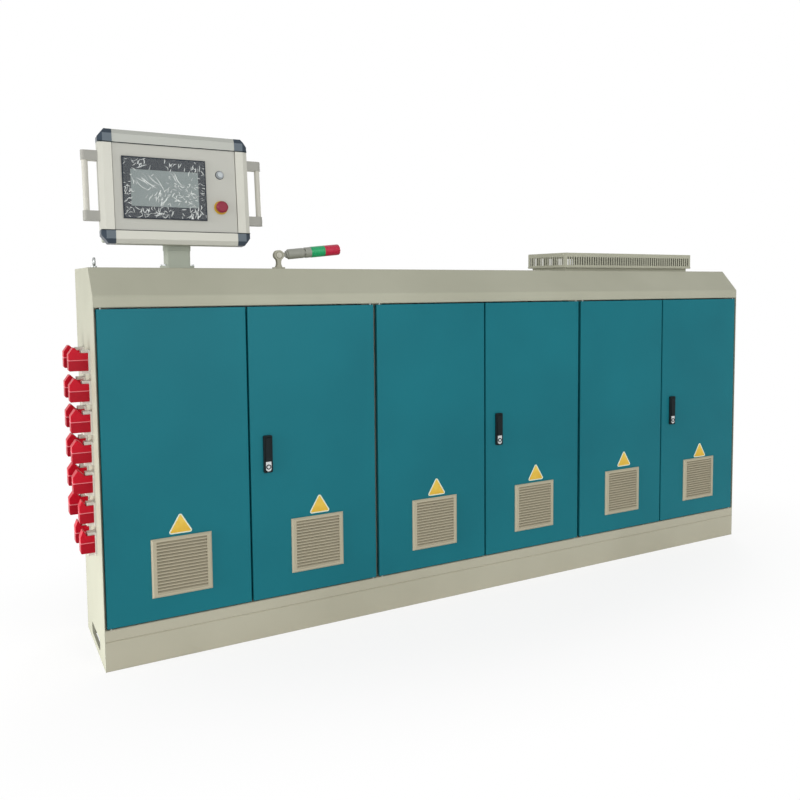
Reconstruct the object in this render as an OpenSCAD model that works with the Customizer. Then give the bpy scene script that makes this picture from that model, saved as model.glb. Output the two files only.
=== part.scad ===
// Control cabinet of a plastic extrusion line. Three sheet-steel bays stand on a plinth, with two
// doors each, an operator panel, a signal lamp and a vent cowl on the roof, and plugs on the left end.
// Modules use X from the left end of the bays, Y back from the face of the doors and Z from the floor.

/* [Cabinet] */
// Width of one bay
bay_w = 1000; // [800:10:1200]
// Depth from the face of the doors to the rear panels
cabinet_d = 450; // [430:10:600]
// Height of the plinth
plinth_h = 102; // [80:1:200]
// Height of the rail below the doors
rail_h = 40; // [35:1:80]
// Height of a door leaf
door_h = 1067; // [950:1:1600]
// Height of the upright fascia above the doors
fascia_h = 38; // [30:1:80]
// Height of the sloping front of the roof
slope_rise = 95; // [60:1:140]
// Setback of the roof's front edge
slope_run = 93; // [60:1:100]
// Thickness of the folded sheets
sheet_t = 2; // [1.5:0.5:3]
// Size of the eased edge along a fold
fold_ease = 3; // [2:0.5:4]
// Depth of the flanges folded back from the front sheets
flange_d = 75; // [72:1:90]
// Side of a square post
post_w = 42; // [30:1:50]

/* [Plinth slots] */
// Length of the slot in each end of the plinth
slot_l = 205; // [120:5:240]
// Height of the slot
slot_h = 42; // [20:1:50]
// Height of the slot above the floor
slot_z = 25; // [15:1:40]
// Depth of the slot's inner flange
slot_flange = 8; // [4:1:20]

/* [Doors] */
// Gap between the two leaves of a bay
leaf_gap = 6; // [5.5:0.5:10]
// Gap from a leaf to the edge of its bay
edge_gap = 6.5; // [6.5:0.5:10]
// Gap above and below a leaf
door_gap = 5; // [5:0.5:8]
// Depth of the leaf's folded edges
door_fold = 20; // [16:1:24]
// Hinge pin's distance in from the edge of the leaf
hinge_in = 13; // [12:0.5:16]
// Hinge pin's distance behind the face of the leaf
hinge_back = 5.5; // [5.5:0.5:8]
// Radius of a hinge pin
hinge_r = 2.5; // [2:0.25:3]
// Length of a hinge pin inside the leaf
hinge_reach = 14; // [10:1:20]
// Free room between the leaves and the posts behind them
post_clear = 11; // [11:1:16]

/* [Grilles] */
// Side of the square filter grille
grille_w = 204; // [160:2:260]
// Height of the grille's lower edge above the floor
grille_z = 225; // [200:1:400]
// Depth of the grille in front of the leaf
grille_proud = 9; // [6:1:14]
// Number of louvre slats
slat_n = 16; // [8:1:20]
// Thickness of a slat
slat_t = 3.4; // [2:0.1:4]
// Width of the borders beside the slats
grille_side = 17; // [12:1:24]
// Height of the border above the slats
grille_head = 11; // [8:1:20]
// Height of the border below the slats
grille_foot = 13; // [12:1:30]

/* [Door handles] */
// Height of the handle's dish
dish_h = 135; // [120:1:180]
// Width of the dish
dish_w = 32; // [28:1:40]
// Height of the dish's lower edge above the floor
dish_z = 614; // [550:1:800]
// Distance of the dish's middle from the free edge of the leaf
dish_in = 62; // [40:1:120]
// Depth of the dish in front of the leaf
dish_proud = 10; // [9:0.5:14]
// Width of the lever
lever_w = 20; // [14:1:22]
// Height of the lock below the lever
lock_h = 42; // [36:1:50]

/* [Operator panel] */
// Width of the panel's frame
panel_w = 520; // [400:5:560]
// Height of the panel's frame
panel_h = 398; // [360:2:460]
// Depth from the front of the rails to the back of the housing
panel_d = 140; // [120:5:150]
// Setback of the housing's sides behind the rails
housing_in = 18; // [17:0.5:18]
// Distance of the panel's middle from the left end of the bays
panel_x = 318; // [300:1:330]
// Setback of the panel's lower front edge
panel_y = 187; // [170:1:200]
// Backward lean of the panel in degrees
panel_lean = 4.5; // [0:0.5:8]
// Width of the frame's aluminium rails
rail_band = 47; // [40:1:56]
// Depth of the rails
rail_d = 46; // [40:1:60]
// Width of the touch screen's bezel
screen_w = 288; // [240:2:300]
// Height of the bezel
screen_h = 218; // [180:2:230]
// Distance of the bezel's left edge from the frame's left edge
screen_x = 75; // [60:1:80]
// Height of the bezel above the frame's lower edge
screen_z = 88; // [80:1:100]
// Distance of the buttons from the frame's left edge
button_x = 415; // [410:1:430]
// Height of the start button above the frame's lower edge
start_z = 259; // [245:1:290]
// Height of the emergency stop above the frame's lower edge
stop_z = 139; // [110:1:165]
// Diameter of the start button's ring
ring_d = 32; // [28:1:36]
// Diameter of the emergency stop's head
stop_d = 42; // [36:1:46]
// Height of a side handle
grip_h = 242; // [200:2:300]
// Distance of a side handle's outer face from the frame
grip_out = 54; // [44:1:60]

/* [Column] */
// Width of the column
column_w = 88; // [70:1:100]
// Depth of the column
column_d = 52; // [40:1:70]
// Height of the column above the roof
column_h = 66; // [50:1:80]
// Distance that the column's flange stands out on each side
column_flange = 14; // [10:1:20]
// Distance of the column behind the panel's lower front edge
column_back = 88; // [70:1:100]

/* [Signal lamp] */
// Distance of the lamp's pivot from the left end of the bays
lamp_x = 713; // [700:1:800]
// Height of the pivot above the roof
lamp_pivot_h = 56; // [50:1:80]
// Diameter of the lamp
lamp_d = 40; // [34:1:48]
// Tilt of the lamp above level in degrees
lamp_tilt = 6; // [2:0.5:20]
// Length of one lens
lens_l = 58; // [40:1:80]

/* [Vent cowl] */
// Length of the cowl
cowl_l = 790; // [500:5:900]
// Depth of the cowl
cowl_d = 290; // [240:2:300]
// Height of the cowl
cowl_h = 66; // [60:1:90]
// Height of the curb below the cowl
curb_h = 16; // [10:1:30]
// Setback of the curb inside the cowl
curb_in = 15; // [8:1:30]
// Spacing of the air slots
slot_pitch = 14; // [10:0.5:24]
// Width of an air slot
air_w = 6.5; // [4:0.5:8]
// Height of an air slot
air_h = 38; // [25:1:40]
// Height of the plain band above the slots
air_top = 18; // [10:1:24]
// Number of air slots in the rear side, counted from the left
rear_slots = 22; // [1:1:34]

/* [Connectors] */
// Number of connectors one above another
plug_rows = 7; // [3:1:8]
// Spacing of the rows
plug_pitch = 104; // [98:1:120]
// Height of the top row's lower edge above the floor
plug_top_z = 1006; // [950:1:1060]
// Setback of the front column of connectors
plug_y = 110; // [80:1:180]
// Spacing of the two columns
plug_step = 145; // [90:1:160]
// Distance that a large hood stands out of the side panel
plug_out = 69; // [60:1:90]
// Distance that a small hood stands out
plug_out_small = 53; // [46:1:58]
// Height of a hood beside its locking levers
plug_h = 60; // [52:1:63]
// Height of a hood at its cable boss
plug_peak_h = 78; // [74:1:82]
// Depth of a hood from front to back
plug_d = 43; // [36:1:50]

/* [Hidden] */
$fn = 48;

// Clearances
run_clear = 0.05;
seat_clear = 0.2;
cut_past = 1;

// Overall sizes and heights of the cabinet
bay_n = 3;
bays_w = bay_n * bay_w;
rail_z = plinth_h;
rail_top = rail_z + rail_h;
door_z = rail_top + door_gap;
fascia_z = door_z + door_h + door_gap;
slope_z = fascia_z + fascia_h;
roof_z = slope_z + slope_rise;
door_w = (bay_w - 2 * edge_gap - leaf_gap) / 2;
post_y = door_fold + post_clear;
rear_in = cabinet_d - 2 * sheet_t;
plinth_return = 80;
rail_return = 40;
post_in = 2;
post_wall = 2;
rear_flange = 30;
plate_gap = 18;
plate_fold = 16;

// Places on the roof
cowl_inset = 9;
cowl_x = (bay_n - 1) * bay_w + cowl_inset;
cowl_setback = 27;
cowl_y = slope_run + cowl_setback;
cowl_z = roof_z + curb_h;
vent_edge = 20;
vent_in = curb_in + vent_edge;
eye_x = 21;
eye_setback = 22;
eye_y = slope_run + eye_setback;

// Paint colours
cabinet_grey = "#acac9b";
door_teal = "#2a7080";
zinc = "#b9bbb8";
grille_beige = "#afa891";
plug_red = "#b9192d";
die_cast = "#c9c9c2";
frame_metal = "#c4bca8";
corner_slate = "#5a6473";
black = "#1b1c1e";
lamp_grey = "#96968c";

// Folded sheets: a path of straight runs gets an eased edge at each fold and one thickness
// on its left-hand side, with mitred joints.
function unit(v) = v / norm(v);
function left_of(a, b) = let (d = unit(b - a)) [-d[1], d[0]];
function eased(path, ease) = [
    for (i = [0 : len(path) - 1])
        each (i == 0 || i == len(path) - 1)
            ? [path[i]]
            : [path[i] + ease * unit(path[i - 1] - path[i]), path[i] + ease * unit(path[i + 1] - path[i])]
];
function inner_point(path, i, t) = let (
    before = left_of(path[max(i, 1) - 1], path[max(i, 1)]),
    after = left_of(path[min(i, len(path) - 2)], path[min(i, len(path) - 2) + 1])
) path[i] + (before + after) * t / (1 + before * after);
function sheet(path, t) = concat(path, [for (i = [len(path) - 1 : -1 : 0]) inner_point(path, i, t)]);
function folded(path) = sheet(eased(path, fold_ease), sheet_t);

// The part's origin: the middle of its footprint on the floor
module cabinet_frame() {
    translate([-(bays_w + sheet_t - plug_out) / 2, -cabinet_d / 2, 0]) children();
}

// A YZ profile drawn out along X, and an XZ profile drawn out along Y
module along_x(from, to) {
    translate([from, 0, 0]) rotate([90, 0, 90]) linear_extrude(to - from) children();
}

module along_y(from, to) {
    translate([0, to, 0]) rotate([90, 0, 0]) linear_extrude(to - from) children();
}

// A rectangle about the origin with round corners
module round_rectangle(w, h, r) {
    square([w - 2 * r, h], center = true);
    square([w, h - 2 * r], center = true);
    for (x = [r - w / 2, w / 2 - r], y = [r - h / 2, h / 2 - r]) translate([x, y]) circle(r = r);
}

// Plinth: folded channels front and rear, and slotted plates between them
module plinth_channel() {
    along_x(0, bays_w)
        polygon(folded([[plinth_return, plinth_h], [0, plinth_h], [0, 0], [plinth_return, 0]]));
}

module plinth_front() {
    color(cabinet_grey) cabinet_frame() plinth_channel();
}

module plinth_rear() {
    color(cabinet_grey) cabinet_frame() translate([0, cabinet_d, 0]) mirror([0, 1, 0]) plinth_channel();
}

module slot_outline(wall) {
    straight = slot_l - slot_h;
    translate([cabinet_d / 2, slot_z + slot_h / 2]) {
        square([straight, slot_h + 2 * wall], center = true);
        for (side = [-1, 1]) translate([side * straight / 2, 0]) circle(d = slot_h + 2 * wall);
    }
}

module plinth_end() {
    difference() {
        union() {
            cube([sheet_t, cabinet_d, plinth_h]);
            along_x(0, sheet_t + slot_flange) slot_outline(sheet_t);
        }
        along_x(-cut_past, sheet_t + slot_flange + cut_past) slot_outline(0);
    }
}

module plinth_ends() {
    color(cabinet_grey) cabinet_frame() {
        translate([-sheet_t, 0, 0]) plinth_end();
        translate([bays_w + sheet_t, 0, 0]) mirror([1, 0, 0]) plinth_end();
    }
}

// Bottom rail, floor, sides and back
module bottom_rail() {
    color(cabinet_grey) cabinet_frame() along_x(0, bays_w)
        polygon(folded([[flange_d, rail_top], [0, rail_top], [0, rail_z], [rail_return, rail_z]]));
}

module floor_plates() {
    color(zinc) cabinet_frame() for (bay = [0 : bay_n - 1])
        translate([bay * bay_w + sheet_t, rail_return + sheet_t, plinth_h])
            cube([bay_w - 2 * sheet_t, rear_in - rail_return - 2 * sheet_t, sheet_t]);
}

module side_panel() {
    along_x(0, sheet_t)
        polygon([[0, rail_z], [0, slope_z], [slope_run, roof_z], [cabinet_d, roof_z], [cabinet_d, rail_z]]);
}

module side_panels() {
    color(cabinet_grey) cabinet_frame() for (x = [-sheet_t, bays_w]) translate([x, 0, 0]) side_panel();
}

module rear_panels() {
    color(cabinet_grey) cabinet_frame() for (bay = [0 : bay_n - 1])
        translate([bay * bay_w + sheet_t / 2, cabinet_d - sheet_t, rail_z])
            cube([bay_w - sheet_t, sheet_t, roof_z - rail_z - fold_ease]);
}

// Posts of each bay: hollow square tubes behind the doors and at the back
module post(h) {
    linear_extrude(h) difference() {
        square(post_w);
        translate([post_wall, post_wall]) square(post_w - 2 * post_wall);
    }
}

module posts() {
    color(cabinet_grey) cabinet_frame() for (bay = [0 : bay_n - 1], x = [post_in, bay_w - post_in - post_w])
        translate([bay * bay_w + x, 0, 0]) {
            translate([0, post_y, rail_top]) post(fascia_z - rail_top);
            translate([0, rear_in - post_w, plinth_h + sheet_t])
                post(roof_z - fold_ease - plinth_h - 2 * sheet_t);
        }
}

// Roof, slope and fascia folded from one sheet between the side panels, open below the vent cowl
module canopy() {
    color(cabinet_grey) cabinet_frame() difference() {
        along_x(0, bays_w) polygon(folded([
            [cabinet_d - sheet_t, roof_z - rear_flange], [cabinet_d - sheet_t, roof_z], [slope_run, roof_z],
            [0, slope_z], [0, fascia_z], [flange_d, fascia_z]
        ]));
        translate([cowl_x + vent_in, cowl_y + vent_in, roof_z - sheet_t - cut_past])
            cube([cowl_l - 2 * vent_in, cowl_d - 2 * vent_in, sheet_t + 2 * cut_past]);
    }
}

// Galvanised mounting plates with folded long edges that land on the rear posts
module mounting_plates() {
    plate_y = rear_in - post_w - plate_fold;
    color(zinc) cabinet_frame() for (bay = [0 : bay_n - 1])
        translate([bay * bay_w, 0, rail_top]) linear_extrude(fascia_z - rail_top) polygon(folded([
            [plate_gap, plate_y + plate_fold], [plate_gap, plate_y],
            [bay_w - plate_gap, plate_y], [bay_w - plate_gap, plate_y + plate_fold]
        ]));
}

// Doors: folded pans on pins in the rail and the fascia. Odd leaves hang on the left, even on the right
function is_left(n) = n % 2 == 1;
function bay_of(n) = floor((n - 1) / 2);
function door_x(n) = bay_of(n) * bay_w + (is_left(n) ? edge_gap : bay_w - edge_gap - door_w);
function hinge_x(n) = door_x(n) + (is_left(n) ? hinge_in : door_w - hinge_in);
grille_aside = 3;
grille_x = door_w / 2 + grille_aside;
field_w = grille_w - 2 * grille_side;
field_h = grille_w - grille_head - grille_foot;
tray_wall = 4;
tray_d = 18;
bush_wall = 2;

module hinge_pins() {
    color(zinc) cabinet_frame() for (n = [1 : 2 * bay_n]) translate([hinge_x(n), hinge_back, 0]) {
        translate([0, 0, rail_top]) cylinder(h = door_gap + hinge_reach, r = hinge_r);
        translate([0, 0, fascia_z - door_gap - hinge_reach])
            cylinder(h = door_gap + hinge_reach, r = hinge_r);
    }
}

module door_leaf(n) {
    color(door_teal) cabinet_frame() difference() {
        union() {
            translate([door_x(n), 0, door_z]) {
                linear_extrude(door_h)
                    polygon(folded([[0, door_fold], [0, 0], [door_w, 0], [door_w, door_fold]]));
                for (z = [0, door_h - sheet_t])
                    translate([sheet_t, sheet_t / 2, z])
                        cube([door_w - 2 * sheet_t, door_fold - sheet_t / 2, sheet_t]);
            }
            for (z = [door_z + sheet_t / 2, door_z + door_h - hinge_reach - sheet_t / 2])
                translate([hinge_x(n), hinge_back, z])
                    cylinder(h = hinge_reach, r = hinge_r + run_clear + bush_wall);
        }
        for (z = [door_z, door_z + door_h - hinge_reach])
            translate([hinge_x(n), hinge_back, z - cut_past])
                cylinder(h = hinge_reach + 2 * cut_past, r = hinge_r + run_clear);
        translate([door_x(n) + grille_x, 0, grille_z])
            along_y(-cut_past, sheet_t + cut_past) grille_field(tray_wall + seat_clear);
    }
}

// Filter grilles: a bevelled bezel with sloping slats, and a tray behind the leaf
module grille_field(wall) {
    translate([-field_w / 2 - wall, grille_foot - wall]) square([field_w + 2 * wall, field_h + 2 * wall]);
}

module bezel_profile() {
    bevel = 5;
    polygon([
        [-grille_w / 2, 0], [-grille_w / 2, bevel - grille_proud], [bevel - grille_w / 2, -grille_proud],
        [grille_w / 2 - bevel, -grille_proud], [grille_w / 2, bevel - grille_proud], [grille_w / 2, 0]
    ]);
}

module door_grille(n) {
    sunk = 1;
    nose = 0.6;
    nose_in = 6;
    rib_w = 2;
    tab_w = 26;
    tab_h = 6;
    slat_pitch = field_h / slat_n;
    slat_slope = 0.7;
    slat_lift = slat_slope * slat_pitch;
    slat_front = sunk - grille_proud;
    slat_back = 6;
    color(grille_beige) cabinet_frame() translate([door_x(n) + grille_x, 0, grille_z]) {
        difference() {
            union() {
                intersection() {
                    linear_extrude(grille_w) bezel_profile();
                    translate([-grille_w / 2, 0, grille_w / 2]) rotate([0, 90, 0])
                        linear_extrude(grille_w) bezel_profile();
                }
                along_y(-sunk, tray_d) grille_field(tray_wall);
            }
            along_y(-grille_proud - cut_past, tray_d - sheet_t) grille_field(0);
        }
        for (i = [0 : slat_n - 1]) translate([0, 0, grille_foot + sunk + i * slat_pitch]) {
            along_x(-field_w / 2 - sunk, field_w / 2 + sunk) polygon([
                [slat_front, 0], [slat_back, slat_lift], [slat_back, slat_lift + slat_t], [slat_front, slat_t]
            ]);
            translate([nose_in - grille_w / 2, -grille_proud - nose, 0])
                cube([grille_w - 2 * nose_in, nose + 2 * sunk, slat_t]);
        }
        for (x = [-field_w / 4, 0, field_w / 4]) translate([x - rib_w / 2, 0, grille_foot - sunk])
            cube([rib_w, slat_back - sunk, field_h + 2 * sunk]);
        translate([-tab_w / 2, -grille_proud - nose, grille_w - grille_head])
            cube([tab_w, nose + sunk, tab_h]);
    }
}

// Door handles: a dish, a lever that lifts out on a pin, and a lock plate with its barrel
lever_side = 1;
lock_foot = 5;
lock_head = 2;
dish_wall = (dish_w - lever_w) / 2 - lever_side;
dish_back = 1.5;
lever_eye_r = 4.5;
lever_pin_r = 2;
lever_pin_y = -dish_back - seat_clear - lever_eye_r;
lever_pin_down = 12;
lever_pin_z = dish_z + dish_h - lever_pin_down;
function dish_x(n) = door_x(n) + dish_in;

module handle_dish(n) {
    corner_r = 4;
    color(black) cabinet_frame() translate([dish_x(n), 0, dish_z]) difference() {
        along_y(-dish_proud, 0) translate([0, dish_h / 2]) round_rectangle(dish_w, dish_h, corner_r);
        translate([-dish_w / 2 + dish_wall, -dish_proud - cut_past, lock_h])
            cube([dish_w - 2 * dish_wall, dish_proud + cut_past - dish_back,
                lever_pin_z - dish_z + lever_eye_r + lever_side - lock_h]);
        translate([-dish_w / 2 - cut_past, lever_pin_y, lever_pin_z - dish_z]) rotate([0, 90, 0])
            cylinder(h = dish_w + 2 * cut_past, r = lever_pin_r + run_clear);
    }
}

module lock_outline() {
    translate([0, lock_foot + lever_w / 2]) circle(d = lever_w);
    translate([-lever_w / 2, lock_foot + lever_w / 2])
        square([lever_w, lock_h - lock_head - lock_foot - lever_w / 2]);
}

module handle_lock(n) {
    plate_t = 2;
    barrel_r = 6;
    barrel_t = 3;
    key_w = 2;
    key_h = 8;
    color(zinc) cabinet_frame() translate([dish_x(n), -dish_proud, dish_z]) difference() {
        union() {
            along_y(-plate_t, 0) lock_outline();
            along_y(-barrel_t, 0) translate([0, lock_h / 2]) circle(r = barrel_r);
        }
        along_y(-barrel_t - cut_past, -plate_t + 1)
            translate([0, lock_h / 2]) square([key_w, key_h], center = true);
    }
}

module handle_lever(n) {
    foot_z = lock_h + lever_side - lever_pin_z + dish_z;
    lip = 12;
    taper = 2;
    lip_out = 4;
    lip_in = 3;
    color(black) cabinet_frame() translate([dish_x(n), lever_pin_y, lever_pin_z]) {
        along_x(-lever_w / 2, lever_w / 2) {
            circle(r = lever_eye_r);
            polygon([
                [lever_eye_r, 0], [-lever_eye_r, 0], [-lever_eye_r - taper, foot_z + lip],
                [-lever_eye_r - lip_out, foot_z], [-lever_eye_r + lip_in, foot_z],
                [lever_eye_r, foot_z + lip]
            ]);
        }
        translate([-dish_w / 2, 0, 0]) rotate([0, 90, 0]) cylinder(h = dish_w, r = lever_pin_r);
    }
}

// Vent cowl on a curb, with upright air slots along the front, the left end and a part of the rear
module vent_curb() {
    color(cabinet_grey) cabinet_frame() translate([cowl_x, cowl_y, roof_z]) difference() {
        union() {
            translate([curb_in, curb_in, 0]) cube([cowl_l - 2 * curb_in, cowl_d - 2 * curb_in, curb_h]);
            translate([0, 0, curb_h - sheet_t]) cube([cowl_l, cowl_d, sheet_t]);
        }
        translate([curb_in + sheet_t, curb_in + sheet_t, -cut_past])
            cube([cowl_l - 2 * (curb_in + sheet_t), cowl_d - 2 * (curb_in + sheet_t), curb_h + 2 * cut_past]);
    }
}

function slots_along(run) = floor((run - 2 * air_w) / slot_pitch);

module slotted_wall(run, kept) {
    slots = slots_along(run);
    difference() {
        square([run, cowl_h]);
        for (i = [0 : min(slots, kept) - 1])
            translate([run / 2 + (i - (slots - 1) / 2) * slot_pitch - air_w / 2, cowl_h - air_top - air_h])
                square([air_w, air_h]);
    }
}

module vent_cowl() {
    hem = 1.5;
    hem_h = 5;
    color(cabinet_grey) cabinet_frame() translate([cowl_x, cowl_y, cowl_z]) {
        translate([0, 0, cowl_h - sheet_t]) cube([cowl_l, cowl_d, sheet_t]);
        along_y(0, sheet_t) slotted_wall(cowl_l, slots_along(cowl_l));
        along_y(cowl_d - sheet_t, cowl_d) slotted_wall(cowl_l, rear_slots);
        along_x(0, sheet_t) slotted_wall(cowl_d, slots_along(cowl_d));
        along_x(cowl_l - sheet_t, cowl_l) square([cowl_d, cowl_h]);
        linear_extrude(hem_h) difference() {
            translate([-hem, -hem]) square([cowl_l + 2 * hem, cowl_d + 2 * hem]);
            translate([sheet_t, sheet_t]) square([cowl_l - 2 * sheet_t, cowl_d - 2 * sheet_t]);
        }
    }
}

// Lifting eye at the roof's front left corner
module lifting_eye() {
    wire_r = 4;
    ring_r = 12;
    collar_r = 10;
    collar_h = 5;
    ring_lift = 1;
    color(zinc) cabinet_frame() translate([eye_x, eye_y, roof_z]) {
        cylinder(h = collar_h, r = collar_r);
        translate([0, 0, collar_h + ring_r + ring_lift]) rotate([0, 90, 0])
            rotate_extrude() translate([ring_r, 0]) circle(r = wire_r);
    }
}

// Connectors: a housing with two locking levers on the side panel, and a hood with a cable boss
base_t = 6;
base_wall = 5;
lever_t = 10;
lever_l = 22;
function plug_reach(row, column) = row >= plug_rows - (column == 0 ? 2 : 1) ? plug_out_small : plug_out;

module at_plugs() {
    for (row = [0 : plug_rows - 1], column = [0, 1])
        translate([-sheet_t, plug_y + column * plug_step, plug_top_z - row * plug_pitch]) {
            $reach = plug_reach(row, column) - sheet_t;
            children();
        }
}

module connector_bases() {
    color(die_cast) cabinet_frame() at_plugs() {
        translate([-base_t, -base_wall, -lever_t])
            cube([base_t, plug_d + 2 * base_wall, plug_h + 2 * lever_t]);
        for (z = [-lever_t, plug_h + seat_clear])
            translate([-base_t - lever_l, base_wall, z])
                cube([lever_l + base_t, plug_d - 2 * base_wall, lever_t - seat_clear]);
    }
}

module connector_hoods() {
    ease = 3;
    boss_gap = 2;
    boss_in = base_t + lever_l + seat_clear + boss_gap;
    boss_rise = 0.4;
    boss_fall = 0.55;
    rib = 1.5;
    rib_share = 0.58;
    rib_z = rib_share * plug_h;
    color(plug_red) cabinet_frame() at_plugs() {
        gable = $reach - boss_in;
        along_y(0, plug_d) polygon([
            [-base_t, 0], [ease - $reach, 0], [-$reach, ease], [-$reach, plug_h - ease],
            [boss_rise * gable - $reach, plug_peak_h], [boss_fall * gable - $reach, plug_peak_h],
            [gable - $reach, plug_h], [-base_t, plug_h]
        ]);
        translate([ease - $reach, -rib, rib_z])
            cube([$reach - base_t - 2 * ease, plug_d + 2 * rib, 2 * rib]);
    }
}

// Operator panel: a column on the roof, a collar that turns on it, and the leaning panel head
column_aside = 8;
column_x = panel_x + column_aside;
column_r = 10;
column_wall = 4;
head_gap = 20;
collar_step = 2;
column_y = panel_y + column_back;
column_top = roof_z + column_h;
head_z = column_top + head_gap;
corner_in = [22, 28];
groove = 2;
bevel_w = 16;
bevel_d = 7;
web_w = 20;
lip_d = 10;
face_y = 4;
bezel_lap = 6;
bezel_proud = 6;
neck_r = 11;
stem_r = 9;
ring_proud = 5;

module at_head() {
    cabinet_frame() translate([panel_x, panel_y, head_z]) rotate([-panel_lean, 0, 0]) children();
}

module column_tube(h, out) {
    linear_extrude(h) difference() {
        round_rectangle(column_w + 2 * out, column_d + 2 * out, column_r + out);
        round_rectangle(column_w - 2 * column_wall, column_d - 2 * column_wall, column_r - column_wall);
    }
}

module column() {
    flange_t = 11;
    color(cabinet_grey) cabinet_frame() translate([column_x, column_y, roof_z]) {
        column_tube(column_h, 0);
        column_tube(flange_t, column_flange);
    }
}

module hmi_collar() {
    color(cabinet_grey) difference() {
        cabinet_frame() translate([column_x, column_y, column_top + seat_clear])
            column_tube(head_gap + 2 * housing_in, collar_step);
        at_head() translate([-panel_w / 2, -panel_d, housing_in]) cube([panel_w, 3 * panel_d, panel_h]);
    }
}

module hmi_housing() {
    fold_r = 6;
    w = panel_w - 2 * housing_in;
    h = panel_h - 2 * housing_in;
    color(cabinet_grey) at_head() translate([0, 0, panel_h / 2]) difference() {
        along_y(rail_d, panel_d) round_rectangle(w, h, fold_r);
        along_y(rail_d - cut_past, panel_d - sheet_t)
            round_rectangle(w - 2 * sheet_t, h - 2 * sheet_t, fold_r - sheet_t);
    }
}

module square_inside(inset) {
    translate([-panel_w / 2 + inset, inset]) square([panel_w - 2 * inset, panel_h - 2 * inset]);
}

module frame_rail(run) {
    rotate([0, 90, 0]) linear_extrude(run, center = true) polygon([
        [0, bevel_d], [bevel_w, 0], [rail_band - groove, 0], [rail_band - groove, lip_d],
        [web_w, lip_d], [web_w, rail_d], [0, rail_d]
    ]);
}

module hmi_rails() {
    color(frame_metal) at_head() translate([0, 0, panel_h / 2]) for (turn = [0 : 3])
        rotate([0, turn * 90, 0]) translate([0, 0, (turn % 2 == 0 ? panel_h : panel_w) / 2])
            frame_rail((turn % 2 == 0 ? panel_w : panel_h) - 2 * rail_band);
}

module bevel_cut(edge, proud) {
    past = cut_past * bevel_w / bevel_d;
    polygon([
        [edge - bevel_w - past, -proud - cut_past], [edge + past, -proud - cut_past],
        [edge + past, bevel_d - proud + cut_past]
    ]);
}

module hmi_corners() {
    proud = 1;
    w = panel_w / 2;
    h = panel_h / 2;
    color(corner_slate) at_head() translate([0, 0, h]) for (sx = [0, 1], sz = [0, 1])
        mirror([sx, 0, 0]) mirror([0, 0, sz]) difference() {
            along_y(-proud, rail_d) polygon([
                [w - rail_band, h], [w - corner_in[0], h], [w, h - corner_in[1]], [w, h - rail_band],
                [w - rail_band, h - rail_band]
            ]);
            along_y(lip_d, rail_d + cut_past)
                translate([w - rail_band - cut_past, h - rail_band - cut_past])
                    square(rail_band - web_w + cut_past);
            translate([0, 0, -panel_h]) linear_extrude(2 * panel_h) bevel_cut(w, proud);
            translate([panel_w, 0, 0]) rotate([0, -90, 0]) linear_extrude(2 * panel_w) bevel_cut(h, proud);
        }
}

module hmi_front_panel() {
    color(die_cast) at_head() difference() {
        union() {
            along_y(face_y, lip_d) square_inside(rail_band);
            along_y(lip_d, lip_d + sheet_t) square_inside(web_w + groove);
        }
        translate([-panel_w / 2 + screen_x + bezel_lap, 0, screen_z + bezel_lap])
            cube([screen_w - 2 * bezel_lap, rail_d, screen_h - 2 * bezel_lap]);
        for (z = [start_z, stop_z]) translate([button_x - panel_w / 2, 0, z]) rotate([-90, 0, 0])
            cylinder(h = rail_d, r = neck_r + seat_clear);
    }
}

module hmi_screen() {
    side = 27;
    foot = 44;
    glass_in = 1.5;
    color(black) at_head() translate([-panel_w / 2 + screen_x, 0, screen_z]) difference() {
        union() {
            translate([0, face_y - bezel_proud, 0]) cube([screen_w, bezel_proud, screen_h]);
            translate([bezel_lap + seat_clear, face_y, bezel_lap + seat_clear]) cube([
                screen_w - 2 * (bezel_lap + seat_clear), lip_d, screen_h - 2 * (bezel_lap + seat_clear)
            ]);
        }
        translate([side, face_y - bezel_proud - cut_past, foot])
            cube([screen_w - 2 * side, glass_in + cut_past, screen_h - 2 * foot]);
    }
}

module hmi_handles() {
    bracket_h = 34;
    bracket_d = 26;
    grip_d = 20;
    grip_y = 8;
    color(frame_metal) at_head() for (side = [0, 1]) mirror([side, 0, 0])
        translate([panel_w / 2, grip_y, (panel_h - grip_h) / 2]) {
            for (z = [0, grip_h - bracket_h]) translate([0, 0, z]) linear_extrude(bracket_h) {
                square([grip_out - bracket_d / 2, bracket_d]);
                translate([grip_out - bracket_d / 2, bracket_d / 2]) circle(d = bracket_d);
            }
            translate([grip_out - bracket_d / 2, bracket_d / 2, 0]) cylinder(h = grip_h, d = grip_d);
        }
}

module button_ring(z, d) {
    at_head() translate([button_x - panel_w / 2, 0, z]) rotate([-90, 0, 0]) difference() {
        union() {
            translate([0, 0, face_y - ring_proud]) cylinder(h = ring_proud, d1 = d - ring_proud, d2 = d);
            translate([0, 0, face_y]) cylinder(h = lip_d, r = neck_r);
        }
        translate([0, 0, face_y - ring_proud - cut_past])
            cylinder(h = ring_proud + lip_d + 2 * cut_past, r = stem_r);
    }
}

module hmi_start_ring() {
    color(die_cast) button_ring(start_z, ring_d);
}

module hmi_stop_collar() {
    rim = 4;
    color("#e0b020") button_ring(stop_z, stop_d + 2 * rim);
}

module estop_head() {
    head_in = 10;
    head_h = 7;
    crown_h = 5;
    color(plug_red) at_head() translate([button_x - panel_w / 2, face_y - ring_proud, stop_z])
        rotate([90, 0, 0]) {
            translate([0, 0, -lip_d]) cylinder(h = lip_d + head_in + head_h / 2, r = stem_r - run_clear);
            translate([0, 0, head_in]) cylinder(h = head_h, d = stop_d);
            translate([0, 0, head_in + head_h]) cylinder(h = crown_h, d1 = stop_d, d2 = stop_d - 2 * crown_h);
        }
}

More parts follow.
